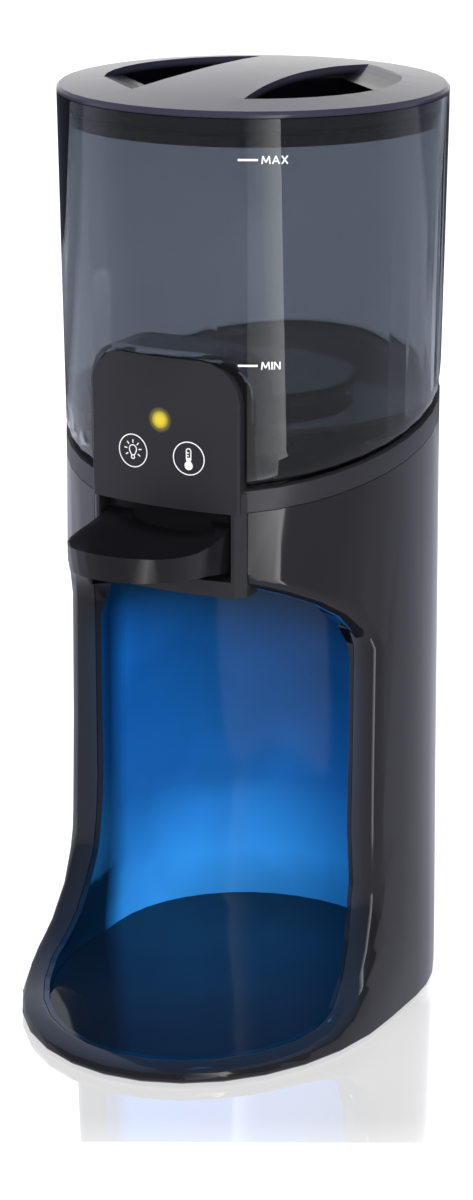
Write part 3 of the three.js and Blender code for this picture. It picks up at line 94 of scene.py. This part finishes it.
def nodes_of(name):
    """A new material, with its node tree and its main shader."""
    material = bpy.data.materials.new(name)
    material.use_nodes = True
    tree = material.node_tree
    return material, tree, tree.nodes["Principled BSDF"]


def preset(node, values):
    """Sets a node's sockets by their names."""
    for socket, value in values.items():
        node.inputs[socket].default_value = value


def object_place(tree):
    return tree.nodes.new("ShaderNodeTexCoord").outputs["Object"]


def noise_of(tree, scale):
    """Noise in the object's own metres: a scale of n has n lumps a metre."""
    noise = tree.nodes.new("ShaderNodeTexNoise")
    preset(noise, {"Scale": scale, "Detail": 3.0})
    tree.links.new(object_place(tree), noise.inputs["Vector"])
    return noise.outputs["Fac"]


def colour_ramp(tree, factor, stops):
    """A colour by a value: stops are pairs of a place from 0 to 1 and a colour."""
    ramp = tree.nodes.new("ShaderNodeValToRGB")
    elements = ramp.color_ramp.elements
    while len(elements) < len(stops):
        elements.new(0.5)
    for element, (place, colour) in zip(elements, stops):
        element.position = place
        element.color = (*colour, 1.0)
    tree.links.new(factor, ramp.inputs["Fac"])
    return ramp.outputs["Color"]


def value_range(tree, factor, result, span=(0.0, 1.0)):
    """A value that runs from result's first to its second number while the factor runs through the span."""
    node = tree.nodes.new("ShaderNodeMapRange")
    preset(node, {"From Min": span[0], "From Max": span[1], "To Min": result[0], "To Max": result[1]})
    tree.links.new(factor, node.inputs["Value"])
    return node.outputs["Result"]


def arithmetic(tree, operation, first, second):
    node = tree.nodes.new("ShaderNodeMath")
    node.operation = operation
    tree.links.new(first, node.inputs[0])
    tree.links.new(second, node.inputs[1])
    return node.outputs["Value"]


def vector_math(tree, operation, vector, fixed):
    """The outputs of a vector operation on a socket and a fixed vector."""
    node = tree.nodes.new("ShaderNodeVectorMath")
    node.operation = operation
    tree.links.new(vector, node.inputs[0])
    node.inputs[1].default_value = fixed
    return node.outputs


def scaled(tree, colour, factor):
    node = tree.nodes.new("ShaderNodeVectorMath")
    node.operation = "SCALE"
    tree.links.new(colour, node.inputs[0])
    tree.links.new(factor, node.inputs["Scale"])
    return node.outputs["Vector"]


def reach_from(tree, centre):
    """The distance of a point of the object from a centre."""
    return vector_math(tree, "DISTANCE", object_place(tree), centre)["Value"]


def along(tree, direction, origin):
    """How far a point of the object lies from an origin along a direction."""
    away = vector_math(tree, "SUBTRACT", object_place(tree), origin)["Vector"]
    return vector_math(tree, "DOT_PRODUCT", away, direction)["Value"]


def path_and_seen(tree):
    """The light path's outputs, and a value of 1 for rays straight from the camera or through the tank."""
    path = tree.nodes.new("ShaderNodeLightPath").outputs
    return path, arithmetic(tree, "MAXIMUM", path["Is Camera Ray"], path["Is Transmission Ray"])


# Materials

# Lumps a metre of each noise
CLOUDS = 9.0
SMOKE_CLOUDS = 7.0
LINER_PATCH_CLOUDS = 11.0
METAL_SPECKS = 400.0
LENS_SPECKS = 300.0
GRAIN = 1500.0
# Where a noise has reached the first and the second of two colours
TONES = (0.3, 0.7)
GRAIN_DEPTH = 0.0002
COAT_ROUGHNESS = 0.04
SMOKE_IOR = 1.45

# The status light: its halo, which fades out on the panel over a span of distances from its centre, and the
# lens's light from its middle to its edge
HALO_COLOUR = (0.75, 0.62, 0.05, 1)
HALO_STRENGTH = (0.36, 0.0)
HALO_SPAN = (0.0028, 0.0052)
AMBER_BASE = (0.05, 0.04, 0.01, 1)
AMBER_GLOW = ((0.0, (0.86, 0.68, 0.05)), (0.55, (0.78, 0.60, 0.03)), (1.0, (0.34, 0.27, 0.02)))
AMBER_ROUGHNESS = 0.4

# The night light's lens
FROST_COLOUR = (0.10, 0.45, 1.0)
FROST_DIM = 0.8
FROST_STRENGTH = 2.5
FROST_ROUGHNESS = 0.35

# The lid's painted shade in its recesses, full from the first depth under the dome's surface down and none
# above the second
LID_PAINTED_SHADE = (0.05, 1.0)
LID_PAINTED_SHADE_DEPTHS = (0.0034, 0.0016)

# The liner's painted light and shade: its navy colour with painted blue light between two heights, darker
# towards the ceiling, and how bright that gets over a span of the patches' noise, of the place from left to
# right (painted light on the left), and of the depth from the opening inwards (painted shade at the opening)
LINER_HEIGHTS = (0.02, 0.19)
LINER_NAVY_AND_PAINTED_LIGHT = ((0.04, (0.026, 0.13, 0.22)), (0.25, (0.010, 0.052, 0.100)),
               (0.5, (0.006, 0.034, 0.066)), (0.95, (0.003, 0.014, 0.028)))
LINER_PATCHES = ((0.75, 1.15), (0.38, 0.6))
LINER_PAINTED_SIDE_LIGHT = ((1.9, 0.9), (-0.06, 0.015))
LINER_PAINTED_OPENING_SHADE = ((0.05, 1.0), (-0.012, 0.004))
LINER_ROUGHNESS = (0.09, 0.15)


def two_tones(tree, noise, low, high):
    """The first colour where the noise is low, turning into the second where it is high."""
    return colour_ramp(tree, noise, ((TONES[0], low), (TONES[1], high)))


def clouded(tree, shader, scale, low, high, rough):
    """A colour and a roughness that drift together with one noise."""
    cloud = noise_of(tree, scale)
    tree.links.new(two_tones(tree, cloud, low, high), shader.inputs["Base Color"])
    tree.links.new(value_range(tree, cloud, rough), shader.inputs["Roughness"])


def plastic(name, low, high, rough, grain=0.0, coat=0.0, level=0.5):
    """Moulded plastic: slow clouds in colour and gloss, and a fine grain where it is satin."""
    material, tree, shader = nodes_of(name)
    shader.inputs["Specular IOR Level"].default_value = level
    clouded(tree, shader, CLOUDS, low, high, rough)
    if coat:
        preset(shader, {"Coat Weight": coat, "Coat Roughness": COAT_ROUGHNESS})
    if grain:
        bump = tree.nodes.new("ShaderNodeBump")
        preset(bump, {"Strength": grain, "Distance": GRAIN_DEPTH})
        tree.links.new(noise_of(tree, GRAIN), bump.inputs["Height"])
        tree.links.new(bump.outputs["Normal"], shader.inputs["Normal"])
    return material


def metal(name, low, high, rough):
    """Bare metal with fine specks."""
    material, tree, shader = nodes_of(name)
    shader.inputs["Metallic"].default_value = 1.0
    clouded(tree, shader, METAL_SPECKS, low, high, rough)
    return material


def smoked(name, low, high, rough):
    """Clear smoky plastic that is seen through."""
    material, tree, shader = nodes_of(name)
    clouded(tree, shader, SMOKE_CLOUDS, low, high, rough)
    preset(shader, {"Transmission Weight": 1.0, "IOR": SMOKE_IOR})
    return material


def cover_plastic():
    """Satin panel plastic, with the soft halo of the status light in it."""
    material = plastic("cover_satin", (0.017, 0.017, 0.021), (0.022, 0.022, 0.028), (0.28, 0.36), grain=0.1)
    tree = material.node_tree
    shader = tree.nodes["Principled BSDF"]
    shader.inputs["Emission Color"].default_value = HALO_COLOUR
    halo = value_range(tree, reach_from(tree, LENS_CENTRE), HALO_STRENGTH, HALO_SPAN)
    tree.links.new(halo, shader.inputs["Emission Strength"])
    return material


def amber_lens():
    """Lit amber lens, brightest in its middle."""
    material, tree, shader = nodes_of("lens_amber")
    lens_radius = (LENS_HIGH.x - LENS_LOW.x) / 2
    share = value_range(tree, reach_from(tree, LENS_CENTRE), (0.0, 1.0), (0.0, lens_radius))
    tree.links.new(colour_ramp(tree, share, AMBER_GLOW), shader.inputs["Emission Color"])
    preset(shader, {"Base Color": AMBER_BASE, "Emission Strength": 1.0, "Roughness": AMBER_ROUGHNESS})
    return material


def frosted_lens():
    """Lit frosted lens, with faint specks in its light."""
    material, tree, shader = nodes_of("lens_frost")
    dim = tuple(FROST_DIM * part for part in FROST_COLOUR)
    light = two_tones(tree, noise_of(tree, LENS_SPECKS), dim, FROST_COLOUR)
    tree.links.new(light, shader.inputs["Base Color"])
    tree.links.new(light, shader.inputs["Emission Color"])
    preset(shader, {"Emission Strength": FROST_STRENGTH, "Roughness": FROST_ROUGHNESS})
    return material


def lid_plastic():
    """Satin lid plastic, with painted shade in the finger wells and on the rim's lower edge, below its domed
    top.
    """
    material = plastic("lid_satin", (0.026, 0.025, 0.044), (0.034, 0.033, 0.056), (0.15, 0.2), grain=0.06)
    tree = material.node_tree
    dome_centre = AXIS + Vector((0, 0, LID_TOP - LID_DOME_RADIUS))
    span = [LID_DOME_RADIUS - depth for depth in LID_PAINTED_SHADE_DEPTHS]
    # Painted shade: the lid's colour darkens below its domed top
    shade = value_range(tree, reach_from(tree, dome_centre), LID_PAINTED_SHADE, span)
    paint = tree.nodes["Principled BSDF"].inputs["Base Color"]
    tree.links.new(scaled(tree, paint.links[0].from_socket, shade), paint)
    return material


def liner_plastic():
    """Glossy navy liner with painted blue light and shade: darker towards the ceiling and towards the
    opening, lighter on the left, with slow, faint darker patches.
    """
    material, tree, shader = nodes_of("liner_navy_and_painted_light")
    # Painted shade: the navy and its painted blue light darken towards the ceiling
    height = value_range(tree, along(tree, (0, 0, 1), (0, 0, 0)), (0.0, 1.0), LINER_HEIGHTS)
    colour = colour_ramp(tree, height, LINER_NAVY_AND_PAINTED_LIGHT)
    # Painted light on the left side, and painted shade towards the opening
    for factor, (brightness, span) in (
            (noise_of(tree, LINER_PATCH_CLOUDS), LINER_PATCHES),
            (along(tree, (1, 0, 0), AXIS), LINER_PAINTED_SIDE_LIGHT),
            (along(tree, (0, 1, 0), AXIS), LINER_PAINTED_OPENING_SHADE)):
        colour = scaled(tree, colour, value_range(tree, factor, brightness, span))
    tree.links.new(colour, shader.inputs["Base Color"])
    tree.links.new(value_range(tree, noise_of(tree, CLOUDS), LINER_ROUGHNESS), shader.inputs["Roughness"])
    return material


SHELL = plastic("shell_black", (0.009, 0.009, 0.011), (0.012, 0.012, 0.015), (0.08, 0.13), coat=0.3)
FLOOR_GLOSS = plastic("floor_black", (0.003, 0.003, 0.004), (0.005, 0.005, 0.006), (0.04, 0.08), level=0.3)
LINER = liner_plastic()
COVER = cover_plastic()
PADDLE = plastic("paddle_satin", (0.006, 0.006, 0.008), (0.009, 0.009, 0.011), (0.2, 0.28), grain=0.1)
LID = lid_plastic()
BASE = plastic("base_matte", (0.012, 0.012, 0.014), (0.018, 0.018, 0.020), (0.5, 0.6), grain=0.3)
RUBBER = plastic("rubber_black", (0.012, 0.012, 0.012), (0.02, 0.02, 0.02), (0.7, 0.8), grain=0.4)
WHITE = plastic("inner_white", (0.6, 0.6, 0.57), (0.66, 0.66, 0.63), (0.4, 0.5), grain=0.1)
PRINT = plastic("print_white", (0.80, 0.80, 0.82), (0.88, 0.88, 0.90), (0.4, 0.5))
SILICONE = plastic("tube_silicone", (0.6, 0.62, 0.6), (0.68, 0.7, 0.68), (0.45, 0.55))
BOARD = plastic("board_green", (0.01, 0.07, 0.03), (0.015, 0.09, 0.04), (0.25, 0.35), coat=0.3)
STEEL = metal("zinc_steel", (0.5, 0.51, 0.53), (0.6, 0.61, 0.63), (0.25, 0.4))
ALUMINIUM = metal("plate_aluminium", (0.16, 0.17, 0.18), (0.2, 0.21, 0.22), (0.3, 0.42))
BRASS = metal("brass_sheet", (0.7, 0.5, 0.22), (0.78, 0.58, 0.28), (0.3, 0.4))
TANK = smoked("tank_smoke", (0.232, 0.258, 0.300), (0.262, 0.288, 0.330), (0.0, 0.01))
AMBER = amber_lens()
FROST = frosted_lens()

# The feet are rubber, and every other node that isn't named here, such as a screw or a spring, is steel
NODE_MATERIALS = {
    "body_shell": SHELL, "bay_liner": LINER, "bay_floor": FLOOR_GLOSS, "top_cover": COVER,
    "dispense_paddle": PADDLE, "tank_lid": LID, "water_tank": TANK, "status_lens": AMBER,
    "night_light_lens": FROST, "heater_plate": ALUMINIUM, "solenoid_coil": BRASS,
    "touch_pad_light": BRASS, "touch_pad_heat": BRASS, "bottom_cover": BASE, "power_inlet": BASE,
    "micro_switch": BASE, "micro_switch_button": WHITE, "spout_nozzle": WHITE, "thermal_cutout": WHITE,
    "solenoid_valve_body": WHITE, "tank_valve_body": WHITE, "tank_valve_plunger": WHITE,
    "tank_valve_washer": RUBBER, "tank_valve_ring": RUBBER, "lid_seal": RUBBER,
    "inlet_tube": SILICONE, "outlet_tube": SILICONE, "main_board": BOARD, "touch_board": BOARD,
    "night_light_board": BOARD,
}
WELD_DISTANCE = 1e-6
CREASE_ANGLE = math.radians(32.0)


def dress(node, material):
    """Gives a CAD node its material and smooth shading between its sharp edges."""
    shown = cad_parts[node]
    shown.data.materials.clear()
    shown.data.materials.append(material)
    shown.data.shade_smooth()
    weld = shown.modifiers.new("weld", "WELD")
    weld.merge_threshold = WELD_DISTANCE
    split = shown.modifiers.new("crease", "EDGE_SPLIT")
    split.split_angle = CREASE_ANGLE
    split.use_edge_sharp = False
    weighted = shown.modifiers.new("weighted", "WEIGHTED_NORMAL")
    weighted.keep_sharp = True


def dress_all():
    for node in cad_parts:
        dress(node, RUBBER if node.startswith("foot_") else NODE_MATERIALS.get(node, STEEL))


# Printed pieces, drawn flat as lists of (across, up) points and laid on their surface

PRINT_PROUD = 0.00006
PRINT_THICK = 0.0001

# The level marks: the heights of the dashes, and where they start round the tank
MARK_LEVELS = {"MAX": 0.364, "MIN": 0.285}
MARK_START = math.radians(24.2)
MARK_LENGTH = 0.0076
MARK_STROKE = 0.0008
MARK_STEPS = 6
LETTER_GAP = 0.0015
LETTER_HEIGHT = 0.0030
LETTER_STROKE = 0.00052
# The letters' lines in parts of the letter height, and the space between two letters
LETTER_SPACE = 0.32
LETTERS = {
    "M": [[(0, 0), (0.1, 1), (0.5, 0.2), (0.9, 1), (1.0, 0)]],
    "A": [[(0, 0), (0.42, 1), (0.84, 0)], [(0.16, 0.32), (0.68, 0.32)]],
    "X": [[(0, 0), (0.74, 1)], [(0, 1), (0.74, 0)]],
    "I": [[(0, 0), (0, 1)]],
    "N": [[(0, 0), (0, 1), (0.7, 0), (0.7, 1)]],
}

# The two symbols, with heights from the middle of their ring, angles in degrees and the steps of each curve
MM = 0.001
SYMBOL_RING = 0.00655
SYMBOL_STROKE = 0.00042
RING_STEPS = 40

# The bulb: its glass, the neck that closes it, the socket that is as wide as the neck, and the rays
GLASS_RADIUS = 1.7 * MM
GLASS_UP = 0.6 * MM
GLASS_FROM, GLASS_TO = -35, 215
GLASS_STEPS = 18
NECK_HALF = 0.75 * MM
NECK_UP = -1.7 * MM
SOCKET_UP = -2.5 * MM
SOCKET_STEPS = 14
RAY_UP = 0.4 * MM
RAY_REACHES = (2.75 * MM, 4.1 * MM)
RAY_TURNS = (90, 48, 132, 8, 172, -34, 214)

# The thermometer: its stem, the filling in it, the well below and the ticks
STEM_HALF = 0.95 * MM
STEM_LOW, STEM_HIGH = -0.6 * MM, 3.0 * MM
STEM_STEPS = 8
FILL_LOW, FILL_HIGH = -2.0 * MM, 0.3 * MM
WELL_RADIUS = 1.75 * MM
WELL_UP = -2.9 * MM
WELL_STEPS = 24
TICK_HEIGHTS = (1.1 * MM, 2.2 * MM)
TICK_END = 0.1 * MM


def stroke(points, width, closed=False):
    """Four-cornered shapes along a line of points."""
    count = len(points)
    sides = []
    for i, point in enumerate(points):
        before = points[i - 1] if i or closed else point
        after = points[(i + 1) % count] if i + 1 < count or closed else point
        run = Vector(after) - Vector(before)
        side = Vector((-run.y, run.x)).normalized() * width / 2
        sides.append((tuple(Vector(point) + side), tuple(Vector(point) - side)))
    following = sides[1:] + sides[:1] if closed else sides[1:]
    return [[left, right, next_right, next_left]
            for (left, right), (next_left, next_right) in zip(sides, following)]


def polar(centre, radius, turn):
    """A point round a centre, with its angle in degrees from the right, turning left."""
    angle = math.radians(turn)
    return (centre[0] + radius * math.cos(angle), centre[1] + radius * math.sin(angle))


def arc(centre, radius, start, end, steps):
    return [polar(centre, radius, start + (end - start) * i / steps) for i in range(steps + 1)]


def circle(centre, radius, steps):
    return arc(centre, radius, 0, 360, steps)[:-1]


def segment(start, end, steps):
    """Points along a straight line, so that it can bend round the tank."""
    return [tuple(Vector(start).lerp(Vector(end), i / steps)) for i in range(steps + 1)]


def printed(name, shapes, place, body):
    """A thin printed piece that rides on a body: place(across, up) gives a point on its surface."""
    form = bmesh.new()
    for shape in shapes:
        form.faces.new([form.verts.new(place(across, up)) for across, up in shape])
    bmesh.ops.remove_doubles(form, verts=form.verts, dist=WELD_DISTANCE)
    bmesh.ops.recalc_face_normals(form, faces=form.faces)
    mesh = bpy.data.meshes.new(name)
    form.to_mesh(mesh)
    form.free()
    mesh.materials.append(PRINT)
    piece = added(name, mesh)
    thick = piece.modifiers.new("thick", "SOLIDIFY")
    thick.thickness = PRINT_THICK
    thick.offset = 0.0
    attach(piece, body)


def on_tank(level):
    """Lays a drawing on the tank's outer wall, with its origin at the marks' left end."""
    share = (level - TANK_SEAM) / (TANK_HIGH.z - TANK_SEAM)
    reach = COVER_HIGH.x + (TANK_HIGH.x - COVER_HIGH.x) * share + PRINT_PROUD

    def place(across, up):
        turn = MARK_START + across / reach
        return AXIS + Vector((reach * math.sin(turn), -reach * math.cos(turn), level + up))
    return place


def on_face(centre_x, centre_z):
    """Lays a drawing on the panel's bowed face."""
    def place(across, up):
        x = centre_x + across
        bow = PANEL_BOW_RADIUS - math.sqrt(PANEL_BOW_RADIUS ** 2 - x ** 2)
        return Vector((x, COVER_LOW.y + bow - PRINT_PROUD, centre_z + up))
    return place


def lettering(word, left, low):
    """The word's letters as flat strokes, to the right of a point and above it."""
    shapes = []
    start = 0.0
    for letter in word:
        for line in LETTERS[letter]:
            drawn = [((start + x) * LETTER_HEIGHT, y * LETTER_HEIGHT) for x, y in line]
            for first, second in zip(drawn, drawn[1:]):
                shapes += stroke([first, second], LETTER_STROKE)
        start += max(x for line in LETTERS[letter] for x, y in line) + LETTER_SPACE
    return [[(x + left, y + low) for x, y in shape] for shape in shapes]


def level_marks():
    dash = stroke(segment((0, 0), (MARK_LENGTH, 0), MARK_STEPS), MARK_STROKE)
    for word, level in MARK_LEVELS.items():
        letters = lettering(word, MARK_LENGTH + LETTER_GAP, -LETTER_HEIGHT / 2)
        printed("level_mark_" + word.lower(), dash + letters, on_tank(level), "tank")


def symbol_ring():
    return stroke(circle((0, 0), SYMBOL_RING, RING_STEPS), SYMBOL_STROKE, closed=True)


def symbol_light(place):
    """A bulb with seven rays in a ring."""
    glass = arc((0, GLASS_UP), GLASS_RADIUS, GLASS_FROM, GLASS_TO, GLASS_STEPS)
    neck = [(-NECK_HALF, NECK_UP), (NECK_HALF, NECK_UP)]
    shapes = symbol_ring()
    shapes += stroke(glass + neck, SYMBOL_STROKE, closed=True)
    shapes += stroke(circle((0, SOCKET_UP), NECK_HALF, SOCKET_STEPS), SYMBOL_STROKE, closed=True)
    for turn in RAY_TURNS:
        shapes += stroke([polar((0, RAY_UP), reach, turn) for reach in RAY_REACHES], SYMBOL_STROKE)
    printed("symbol_light", shapes, place, "base")


def symbol_heat(place):
    """A thermometer in a ring: a filled well and a half-filled stem with two ticks."""
    stem_end = arc((0, STEM_HIGH), STEM_HALF, 0, 180, STEM_STEPS)
    shapes = symbol_ring()
    shapes += stroke([(STEM_HALF, STEM_LOW)] + stem_end + [(-STEM_HALF, STEM_LOW)], SYMBOL_STROKE)
    shapes.append([(-STEM_HALF, FILL_HIGH), (-STEM_HALF, FILL_LOW),
                   (STEM_HALF, FILL_LOW), (STEM_HALF, FILL_HIGH)])
    shapes.append(circle((0, WELL_UP), WELL_RADIUS, WELL_STEPS))
    for up in TICK_HEIGHTS:
        shapes += stroke([(-STEM_HALF, up), (TICK_END, up)], SYMBOL_STROKE)
    printed("symbol_heat", shapes, place, "base")


def printed_all():
    level_marks()
    spread = (PAD_LOW.x + PAD_HIGH.x) / 2
    height = (PAD_LOW.z + PAD_HIGH.z) / 2
    symbol_light(on_face(-spread, height))
    symbol_heat(on_face(spread, height))


# Camera, lamps, floor and world

WHITE_LIGHT = (1, 1, 1, 1)
# The height on the axis that the softboxes shine at
LAMP_AIM = 0.2

# The night light: its lamp stands just under the lens
NIGHT_GAP = 0.0005
NIGHT_POWER = 0.8
NIGHT_COLOUR = (0.06, 0.43, 1.0)
NIGHT_SPREAD = math.radians(130)

# The card that only gloss sees: the height of its foot, and its glow from its left edge to its right one
CARD_FOOT = 0.001
CARD_GLOW = ((0.0, (0, 0, 0)), (0.5, (0.35, 0.35, 0.36)), (1.0, (1, 1, 1)))

# The floor. Its mirror and its glow are pairs of a distance from the axis towards the camera and a share, and
# the mirror also fades out between two distances round the axis
FLOOR_HALF = 6.0
FLOOR_PAINT = (0.95, 0.95, 0.95, 1)
FLOOR_ROUGHNESS = 0.02
FLOOR_SPAN = (-0.3, 0.3)
FLOOR_MIRROR = ((0.0, 0.0), (0.04, 0.9), (0.143, 0.9), (0.162, 0.79), (0.166, 0.0))
FLOOR_LIFT = ((-0.05, 0.5), (0.07, 0.61), (0.166, 0.61))
MIRROR_END = (0.19, 0.23)

# How the floor looks in the object's gloss, from 0.5 m in front of the axis to 3.5 m behind it
GLOSS_SPAN = (0.5, -3.5)
FLOOR_GLOW = ((0.0, (0.24, 0.24, 0.26)), (0.2, (0.60, 0.61, 0.73)), (0.33, (0.60, 0.61, 0.73)),
              (0.37, (0.06, 0.065, 0.09)), (0.72, (0.06, 0.065, 0.09)), (0.8, (1.0, 1.0, 1.0)))

# The world's plain light, and how it looks in the object's gloss, from the side (0) to straight behind (1)
WORLD_LIGHT = (0.6, 0.6, 0.62, 1)
WORLD_GLOW = ((0.0, (0.10, 0.10, 0.11)), (0.81, (0.45, 0.45, 0.50)), (0.96, (1.0, 1.0, 1.0)))


def make_camera():
    data = bpy.data.cameras.new("camera")
    data.sensor_width = SENSOR
    data.lens = FOCAL_PIXELS / IMAGE_HEIGHT * SENSOR
    data.clip_start, data.clip_end = CAMERA_CLIP
    camera = added("camera", data)
    camera.location = AXIS + CAMERA_REACH * TOWARDS_CAMERA + Vector((0, 0, CAMERA_HEIGHT))
    camera.rotation_euler = (math.radians(90) - CAMERA_PITCH, 0, CAMERA_TURN + CAMERA_YAW)
    bpy.context.scene.camera = camera


def round_away(turn, reach, height):
    """A point round the axis: turn is in degrees from the camera's azimuth, towards the picture's right."""
    angle = CAMERA_TURN + math.radians(turn)
    return AXIS + Vector((reach * math.sin(angle), -reach * math.cos(angle), height))


def hidden_lamp(name, data, place):
    """A lamp that lights the object and isn't seen itself, nor in the gloss or through the tank."""
    lamp = added(name, data)
    lamp.location = place
    lamp.visible_camera = False
    lamp.visible_glossy = False
    lamp.visible_transmission = False
    return lamp


def softbox(name, turn, reach, height, width, tall, power):
    """A rectangular lamp that faces the object: turn and reach are as in round_away."""
    data = bpy.data.lights.new(name, "AREA")
    data.shape = "RECTANGLE"
    data.size = width
    data.size_y = tall
    data.energy = power
    lamp = hidden_lamp(name, data, round_away(turn, reach, height))
    aim = AXIS + Vector((0, 0, LAMP_AIM)) - lamp.location
    lamp.rotation_euler = aim.to_track_quat("-Z", "Y").to_euler()


def night_lamp():
    """The night light's lamp, shining down into the bay."""
    low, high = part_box("night_light_lens")
    data = bpy.data.lights.new("night_lamp", "AREA")
    data.shape = "DISK"
    data.size = high.x - low.x
    data.energy = NIGHT_POWER
    data.color = NIGHT_COLOUR
    data.spread = NIGHT_SPREAD
    return hidden_lamp("night_lamp", data, ((low.x + high.x) / 2, (low.y + high.y) / 2, low.z - NIGHT_GAP))


def keep_off(lamp, surface):
    """Keeps a lamp's light off one surface, as the photo's floor has no blue on it."""
    unlit = bpy.data.collections.new("unlit")
    unlit.objects.link(surface)
    unlit.collection_objects[0].light_linking.link_state = "EXCLUDE"
    lamp.light_linking.receiver_collection = unlit


def flat_piece(name, corners, material):
    """A flat piece with four corners."""
    mesh = bpy.data.meshes.new(name)
    mesh.from_pydata(corners, [], [(0, 1, 2, 3)])
    mesh.materials.append(material)
    return added(name, mesh)


def glow_card(name, left, right, reach, tall, strength):
    """A standing card that only gloss sees, brightest at its right edge and dark at its left one."""
    corners = [round_away(left, reach, CARD_FOOT), round_away(right, reach, CARD_FOOT),
               round_away(right, reach, tall), round_away(left, reach, tall)]
    side = corners[1] - corners[0]
    material, tree, shader = nodes_of(name)
    share = value_range(tree, along(tree, side.normalized(), corners[0]), (0.0, 1.0), (0.0, side.length))
    tree.links.new(colour_ramp(tree, share, CARD_GLOW), shader.inputs["Emission Color"])
    preset(shader, {"Base Color": (0, 0, 0, 1), "Emission Strength": strength})
    card = flat_piece(name, corners, material)
    card.visible_camera = False
    card.visible_diffuse = False
    card.visible_transmission = False
    card.visible_shadow = False


def floor_paint():
    """White paint with a faint mirror in front of the base, and another look in the object's gloss."""
    material, tree, shader = nodes_of("floor_pale")
    near = along(tree, TOWARDS_CAMERA, AXIS)
    share = value_range(tree, near, (0.0, 1.0), FLOOR_SPAN)

    def graded(pairs):
        start, end = FLOOR_SPAN
        stops = [((at - start) / (end - start), (grey, grey, grey)) for at, grey in pairs]
        return colour_ramp(tree, share, stops)

    preset(shader, {"Base Color": FLOOR_PAINT, "Roughness": FLOOR_ROUGHNESS, "Emission Color": WHITE_LIGHT})
    close = value_range(tree, reach_from(tree, AXIS), (1.0, 0.0), MIRROR_END)
    tree.links.new(arithmetic(tree, "MULTIPLY", graded(FLOOR_MIRROR), close), shader.inputs["Metallic"])
    path, seen = path_and_seen(tree)
    tree.links.new(arithmetic(tree, "MULTIPLY", seen, graded(FLOOR_LIFT)), shader.inputs["Emission Strength"])

    gloss = tree.nodes.new("ShaderNodeEmission")
    behind = value_range(tree, near, (0.0, 1.0), GLOSS_SPAN)
    tree.links.new(colour_ramp(tree, behind, FLOOR_GLOW), gloss.inputs["Color"])
    mix = tree.nodes.new("ShaderNodeMixShader")
    not_through = value_range(tree, path["Is Transmission Ray"], (1.0, 0.0))
    tree.links.new(arithmetic(tree, "MULTIPLY", path["Is Glossy Ray"], not_through), mix.inputs["Fac"])
    tree.links.new(shader.outputs["BSDF"], mix.inputs[1])
    tree.links.new(gloss.outputs["Emission"], mix.inputs[2])
    tree.links.new(mix.outputs["Shader"], tree.nodes["Material Output"].inputs["Surface"])
    return material


def make_floor():
    corners = [(x * FLOOR_HALF, y * FLOOR_HALF, 0) for x, y in ((-1, -1), (1, -1), (1, 1), (-1, 1))]
    floor = flat_piece("floor", corners, floor_paint())
    return floor


def make_world():
    """White for the camera and through the tank, plain grey for the light, brightest behind for the gloss."""
    world = bpy.data.worlds.new("world")
    bpy.context.scene.world = world
    world.use_nodes = True
    tree = world.node_tree
    place = tree.nodes.new("ShaderNodeTexCoord").outputs["Generated"]
    behind = vector_math(tree, "DOT_PRODUCT", place, -TOWARDS_CAMERA)["Value"]
    path, seen = path_and_seen(tree)
    unseen = tree.nodes.new("ShaderNodeMix")
    unseen.data_type = "RGBA"
    unseen.inputs["A"].default_value = WORLD_LIGHT
    tree.links.new(path["Is Glossy Ray"], unseen.inputs["Factor"])
    tree.links.new(colour_ramp(tree, behind, WORLD_GLOW), unseen.inputs["B"])
    whole = tree.nodes.new("ShaderNodeMix")
    whole.data_type = "RGBA"
    whole.inputs["B"].default_value = WHITE_LIGHT
    tree.links.new(seen, whole.inputs["Factor"])
    tree.links.new(unseen.outputs["Result"], whole.inputs["A"])
    tree.links.new(whole.outputs["Result"], tree.nodes["Background"].inputs["Color"])


def make_stage():
    bpy.context.scene.view_settings.view_transform = "Standard"
    make_camera()
    floor = make_floor()
    make_world()
    softbox("softbox_front", turn=4, reach=1.6, height=0.55, width=0.55, tall=0.9, power=14)
    softbox("softbox_left", turn=-102, reach=1.4, height=0.4, width=0.35, tall=1.0, power=8)
    softbox("softbox_top", turn=20, reach=0.7, height=1.6, width=0.8, tall=0.8, power=13)
    glow_card("card_strip", left=-4.3, right=15.7, reach=0.3, tall=0.4, strength=4.2)
    keep_off(night_lamp(), floor)


make_stage()
dress_all()
printed_all()
